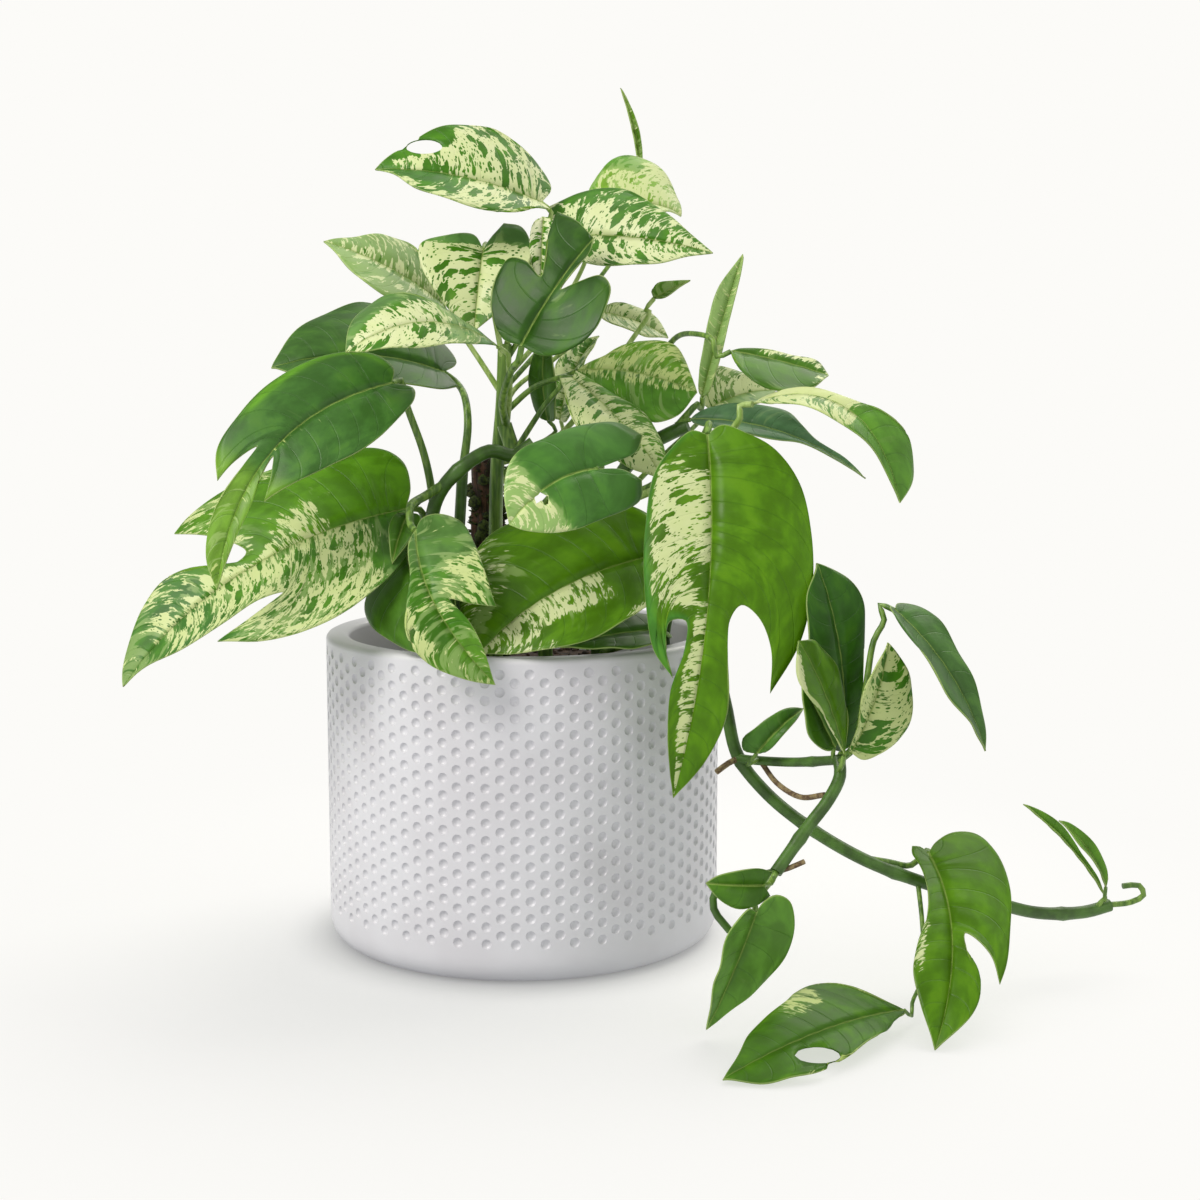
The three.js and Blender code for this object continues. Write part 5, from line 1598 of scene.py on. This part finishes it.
@dataclass
class LeafBuilder:
    """The finished blades over the flat CAD sheets. Sizes are in mm."""

    skins: tuple[Finish, ...] = (LeafSkin("leaf_upper_skin"), LeafSkin("leaf_under_skin", under=True))
    thickness: float = 0.6
    # The width of a column of faces, and the least and the greatest number of columns.
    column: float = 2.6
    columns: tuple[int, int] = (3, 12)
    # How far a vein leans towards the tip before it turns out.
    lean: float = 0.15
    # The depth and half the width of the groove along the midrib, and the height of the quilts beside it.
    groove: tuple[float, float] = (0.35, 1.3)
    quilt: float = 0.11
    # The length of a wave of the margin: the least one, and as a share of the blade's length.
    wave: tuple[float, float] = (18.0, 0.38)
    # Half a blade that is narrower than this waves less.
    full: float = 12.0
    # The maps' unit is 100 mm. The halves of a leaf lie this many units apart on the vein map.
    unit: float = 100.0
    apart: float = 5.3
    weld: float = 0.01
    # The range around a hole, as its own shape squared, in which the torn edge is drawn to the hole's shape.
    drawn: tuple[float, float] = (0.2, 1.9)

    def build(self) -> Iterator[Object]:
        """Make the pieces that stand for the CAD blades.

        Returns:
            The blades.
        """
        for number, (name, leaf) in enumerate(LEAVES.items()):
            blade = Blade(leaf)
            bm = bmesh.new()
            for layer in ("veins", "flat"):
                bm.loops.layers.uv.new(layer)
            for layer in ("tissue", "marbling"):
                bm.verts.layers.float_color.new(layer)
            bm.verts.layers.float.new("edge")
            phase = random.Random(number).uniform(0, 2 * math.pi)
            for sign, points in ((1, leaf.left), (-1, leaf.right)):
                self._half(bm, blade, sign, blade.veins(points), number, phase)
            for hole in leaf.holes:
                self._pierce(bm, blade, hole)
            piece = finished(bm, f"blade_{name}", *self.skins)
            shell = piece.modifiers.new("thickness", "SOLIDIFY")
            shell.thickness = self.thickness * MM
            shell.offset = 0
            shell.material_offset = 1
            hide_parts(f"leaf_{name}")
            yield piece

    def _half(
        self, bm: BMesh, blade: Blade, sign: int, veins: list[Vein], number: int, phase: float
    ) -> None:
        """Add one half of the blade, from the midrib to the margin, as a net of its veins.

        Args:
            bm: the mesh.
            blade: the blade.
            sign: 1 for the left half, -1 for the right one.
            veins: the half's veins.
            number: the leaf's place in the list, which moves its marbling.
            phase: where the waves of its margin begin.
        """
        colours, floats = bm.verts.layers.float_color, bm.verts.layers.float
        tissue, marbling, edge = colours["tissue"], colours["marbling"], floats["edge"]
        leaf = blade.leaf
        widest = max(vein.across for vein in veins)
        least, most = self.columns
        columns = max(least, min(most, round(widest / self.column)))
        count = len(veins) - 1
        made = bmesh.ops.create_grid(bm, x_segments=count, y_segments=columns, size=1.0)["verts"]
        depth, width = self.groove
        wave = max(self.wave[0], blade.length * self.wave[1])
        places = {}
        for vert in made:
            vein = veins[round((vert.co.x + 1) / 2 * count)]
            t = (vert.co.y + 1) / 2
            rise = 2 * t * (1 - t)
            x = vein.root + (vein.along - vein.root) * (rise * self.lean + t * t)
            y = vein.across * (rise * vein.bow + t * t)
            reach = math.hypot(vein.along - vein.root, vein.across)
            turn = (vein.root + vein.run * blade.length / veins[-1].run) / 2
            places[vert] = (turn, t * reach, x, sign * y)
            lift = -depth * math.exp(-((y / width) ** 2))
            lift += self.quilt * (1 - t) * math.cos(2 * math.pi * turn / VEIN_PITCH)
            swing = math.sin(2 * math.pi * turn / wave + phase + sign)
            lift += leaf.wave * swing * t**3 * min(1.0, reach / self.full)
            vert.co = blade.point(x, sign * y, lift) * MM
            vert[tissue], vert[marbling] = leaf.look.at(leaf.green, x / blade.length, t, sign)
            vert[edge] = (1 - t) * reach
        faces = {face for vert in made for face in vert.link_faces}
        vein_map, flat_map = bm.loops.layers.uv["veins"], bm.loops.layers.uv["flat"]
        offset = self.apart if sign > 0 else 0.0
        for face in faces:
            for loop in face.loops:
                turn, run, x, y = places[loop.vert]
                loop[vein_map].uv = (turn / self.unit + number * VEIN_PITCH, run / self.unit + offset)
                loop[flat_map].uv = (x / self.unit, y / self.unit)
            face.normal_update()
        if sum(face.calc_area() * face.normal.dot(blade.up) for face in faces) < 0:
            bmesh.ops.reverse_faces(bm, faces=list(faces))
        bmesh.ops.remove_doubles(bm, verts=made, dist=self.weld * MM)

    def _pierce(self, bm: BMesh, blade: Blade, hole: Numbers) -> None:
        """Open an oval hole and round its edge.

        Args:
            bm: the mesh.
            blade: the blade.
            hole: the hole, as a Leaf holds it.
        """
        along, across, long, wide, turn = hole
        cos, sin = math.cos(math.radians(turn)), math.sin(math.radians(turn))
        middle = Vector((along, across))
        flat_map = bm.loops.layers.uv["flat"]

        def way(loop: BMLoop) -> tuple[Vector, float]:
            """Give a corner's way from the hole's middle, and how far out that is, with 1 on the oval."""
            x, y = out = loop[flat_map].uv * self.unit - middle
            return out, ((x * cos + y * sin) / long) ** 2 + ((y * cos - x * sin) / wide) ** 2

        gone = [face for face in bm.faces if sum(way(loop)[1] for loop in face.loops) / len(face.loops) < 1]
        bmesh.ops.delete(bm, geom=gone, context="FACES")
        low, high = self.drawn
        for vert in [vert for vert in bm.verts if vert.is_boundary]:
            out, share = way(vert.link_loops[0])
            if low < share < high:
                vert.co = blade.point(*(middle + out / math.sqrt(share))) * MM


@dataclass(frozen=True)
class Lamp:
    """A square soft light, in metres and watts, and whether the floor is spared its light."""

    name: str
    place: Point
    size: float
    power: float
    spares_floor: bool = False


@dataclass
class Studio:
    """The plain floor, the soft light and the camera of the photo. Sizes are in metres."""

    floor: float = 24.0
    sky: float = 0.6
    lamps: tuple[Lamp, ...] = (
        Lamp("key", (-1.0, -0.8, 1.3), 0.8, 24.0, True),
        Lamp("fill", (1.2, -1.2, 0.9), 1.2, 4.0, True),
        Lamp("back", (0.7, 0.9, 1.5), 1.4, 16.0),
    )
    glow: str = "fffaf2"
    aim: Point = (0.03, 0.0, 0.17)
    # The photo's camera: its place in mm, how far it looks down in degrees, its lens and its sensor in mm.
    place: Point = (33.5, -826.0, 250.0)
    pitch: float = 7.2
    lens: float = 57.45
    sensor: float = 36.0

    def build(self) -> Iterator[Object]:
        """Set the floor, the lights and the camera.

        Returns:
            Each of them.
        """
        floor = self._floor()
        yield floor
        self._sky()
        spared = bpy.data.collections.new("floor_unlit_by_key")
        spared.objects.link(floor)
        spared.collection_objects[0].light_linking.link_state = "EXCLUDE"
        for lamp in self.lamps:
            light = self._light(lamp)
            if lamp.spares_floor:
                light.light_linking.receiver_collection = spared
            yield light
        yield self._camera()

    def _floor(self) -> Object:
        """Lay the floor.

        Returns:
            The floor.
        """
        bm = bmesh.new()
        bmesh.ops.create_grid(bm, x_segments=1, y_segments=1, size=self.floor / 2)
        mesh = bpy.data.meshes.new("studio_floor")
        bm.to_mesh(mesh)
        bm.free()
        mesh.materials.append(StudioFloor().make())
        floor = bpy.data.objects.new("studio_floor", mesh)
        bpy.context.scene.collection.objects.link(floor)
        return floor

    def _sky(self) -> None:
        """Surround the plant with an even pale light, which the camera sees as near white."""
        world = bpy.data.worlds.new("studio")
        bpy.context.scene.world = world
        world.use_nodes = True
        tree = world.node_tree
        power = add(tree, Kind.RISE, add(tree, Kind.RAY), 0.0, 1.0, self.sky, 1.0)
        feed(tree.nodes["Background"], {"Color": linear(BACKDROP), "Strength": power})

    def _light(self, lamp: Lamp) -> Object:
        """Hang one lamp so that it faces the middle of the plant.

        Args:
            lamp: the lamp.

        Returns:
            Its object.
        """
        data = bpy.data.lights.new(lamp.name, "AREA")
        data.size = lamp.size
        data.energy = lamp.power
        data.color = linear(self.glow)[:3]
        light = bpy.data.objects.new(lamp.name, data)
        light.location = lamp.place
        light.rotation_euler = (Vector(self.aim) - Vector(lamp.place)).to_track_quat("-Z", "Y").to_euler()
        bpy.context.scene.collection.objects.link(light)
        return light

    def _camera(self) -> Object:
        """Stand the camera where the photo was taken from.

        Returns:
            The camera.
        """
        data = bpy.data.cameras.new("photo")
        data.lens = self.lens
        data.sensor_width = self.sensor
        camera = bpy.data.objects.new("photo", data)
        camera.location = Vector(self.place) * MM
        camera.rotation_euler = (math.radians(90 - self.pitch), 0, 0)
        bpy.context.scene.collection.objects.link(camera)
        bpy.context.scene.camera = camera
        bpy.context.scene.view_settings.view_transform = "Standard"
        return camera


def main() -> None:
    """Build the finished plant in order and report each piece."""
    logging.basicConfig(level=logging.INFO)
    for builder in (PotBuilder(), GroundBuilder(), StemBuilder(), LeafBuilder(), Studio()):
        for piece in builder.build():
            log.info("built %s", piece.name)


if __name__ == "__main__":
    main()
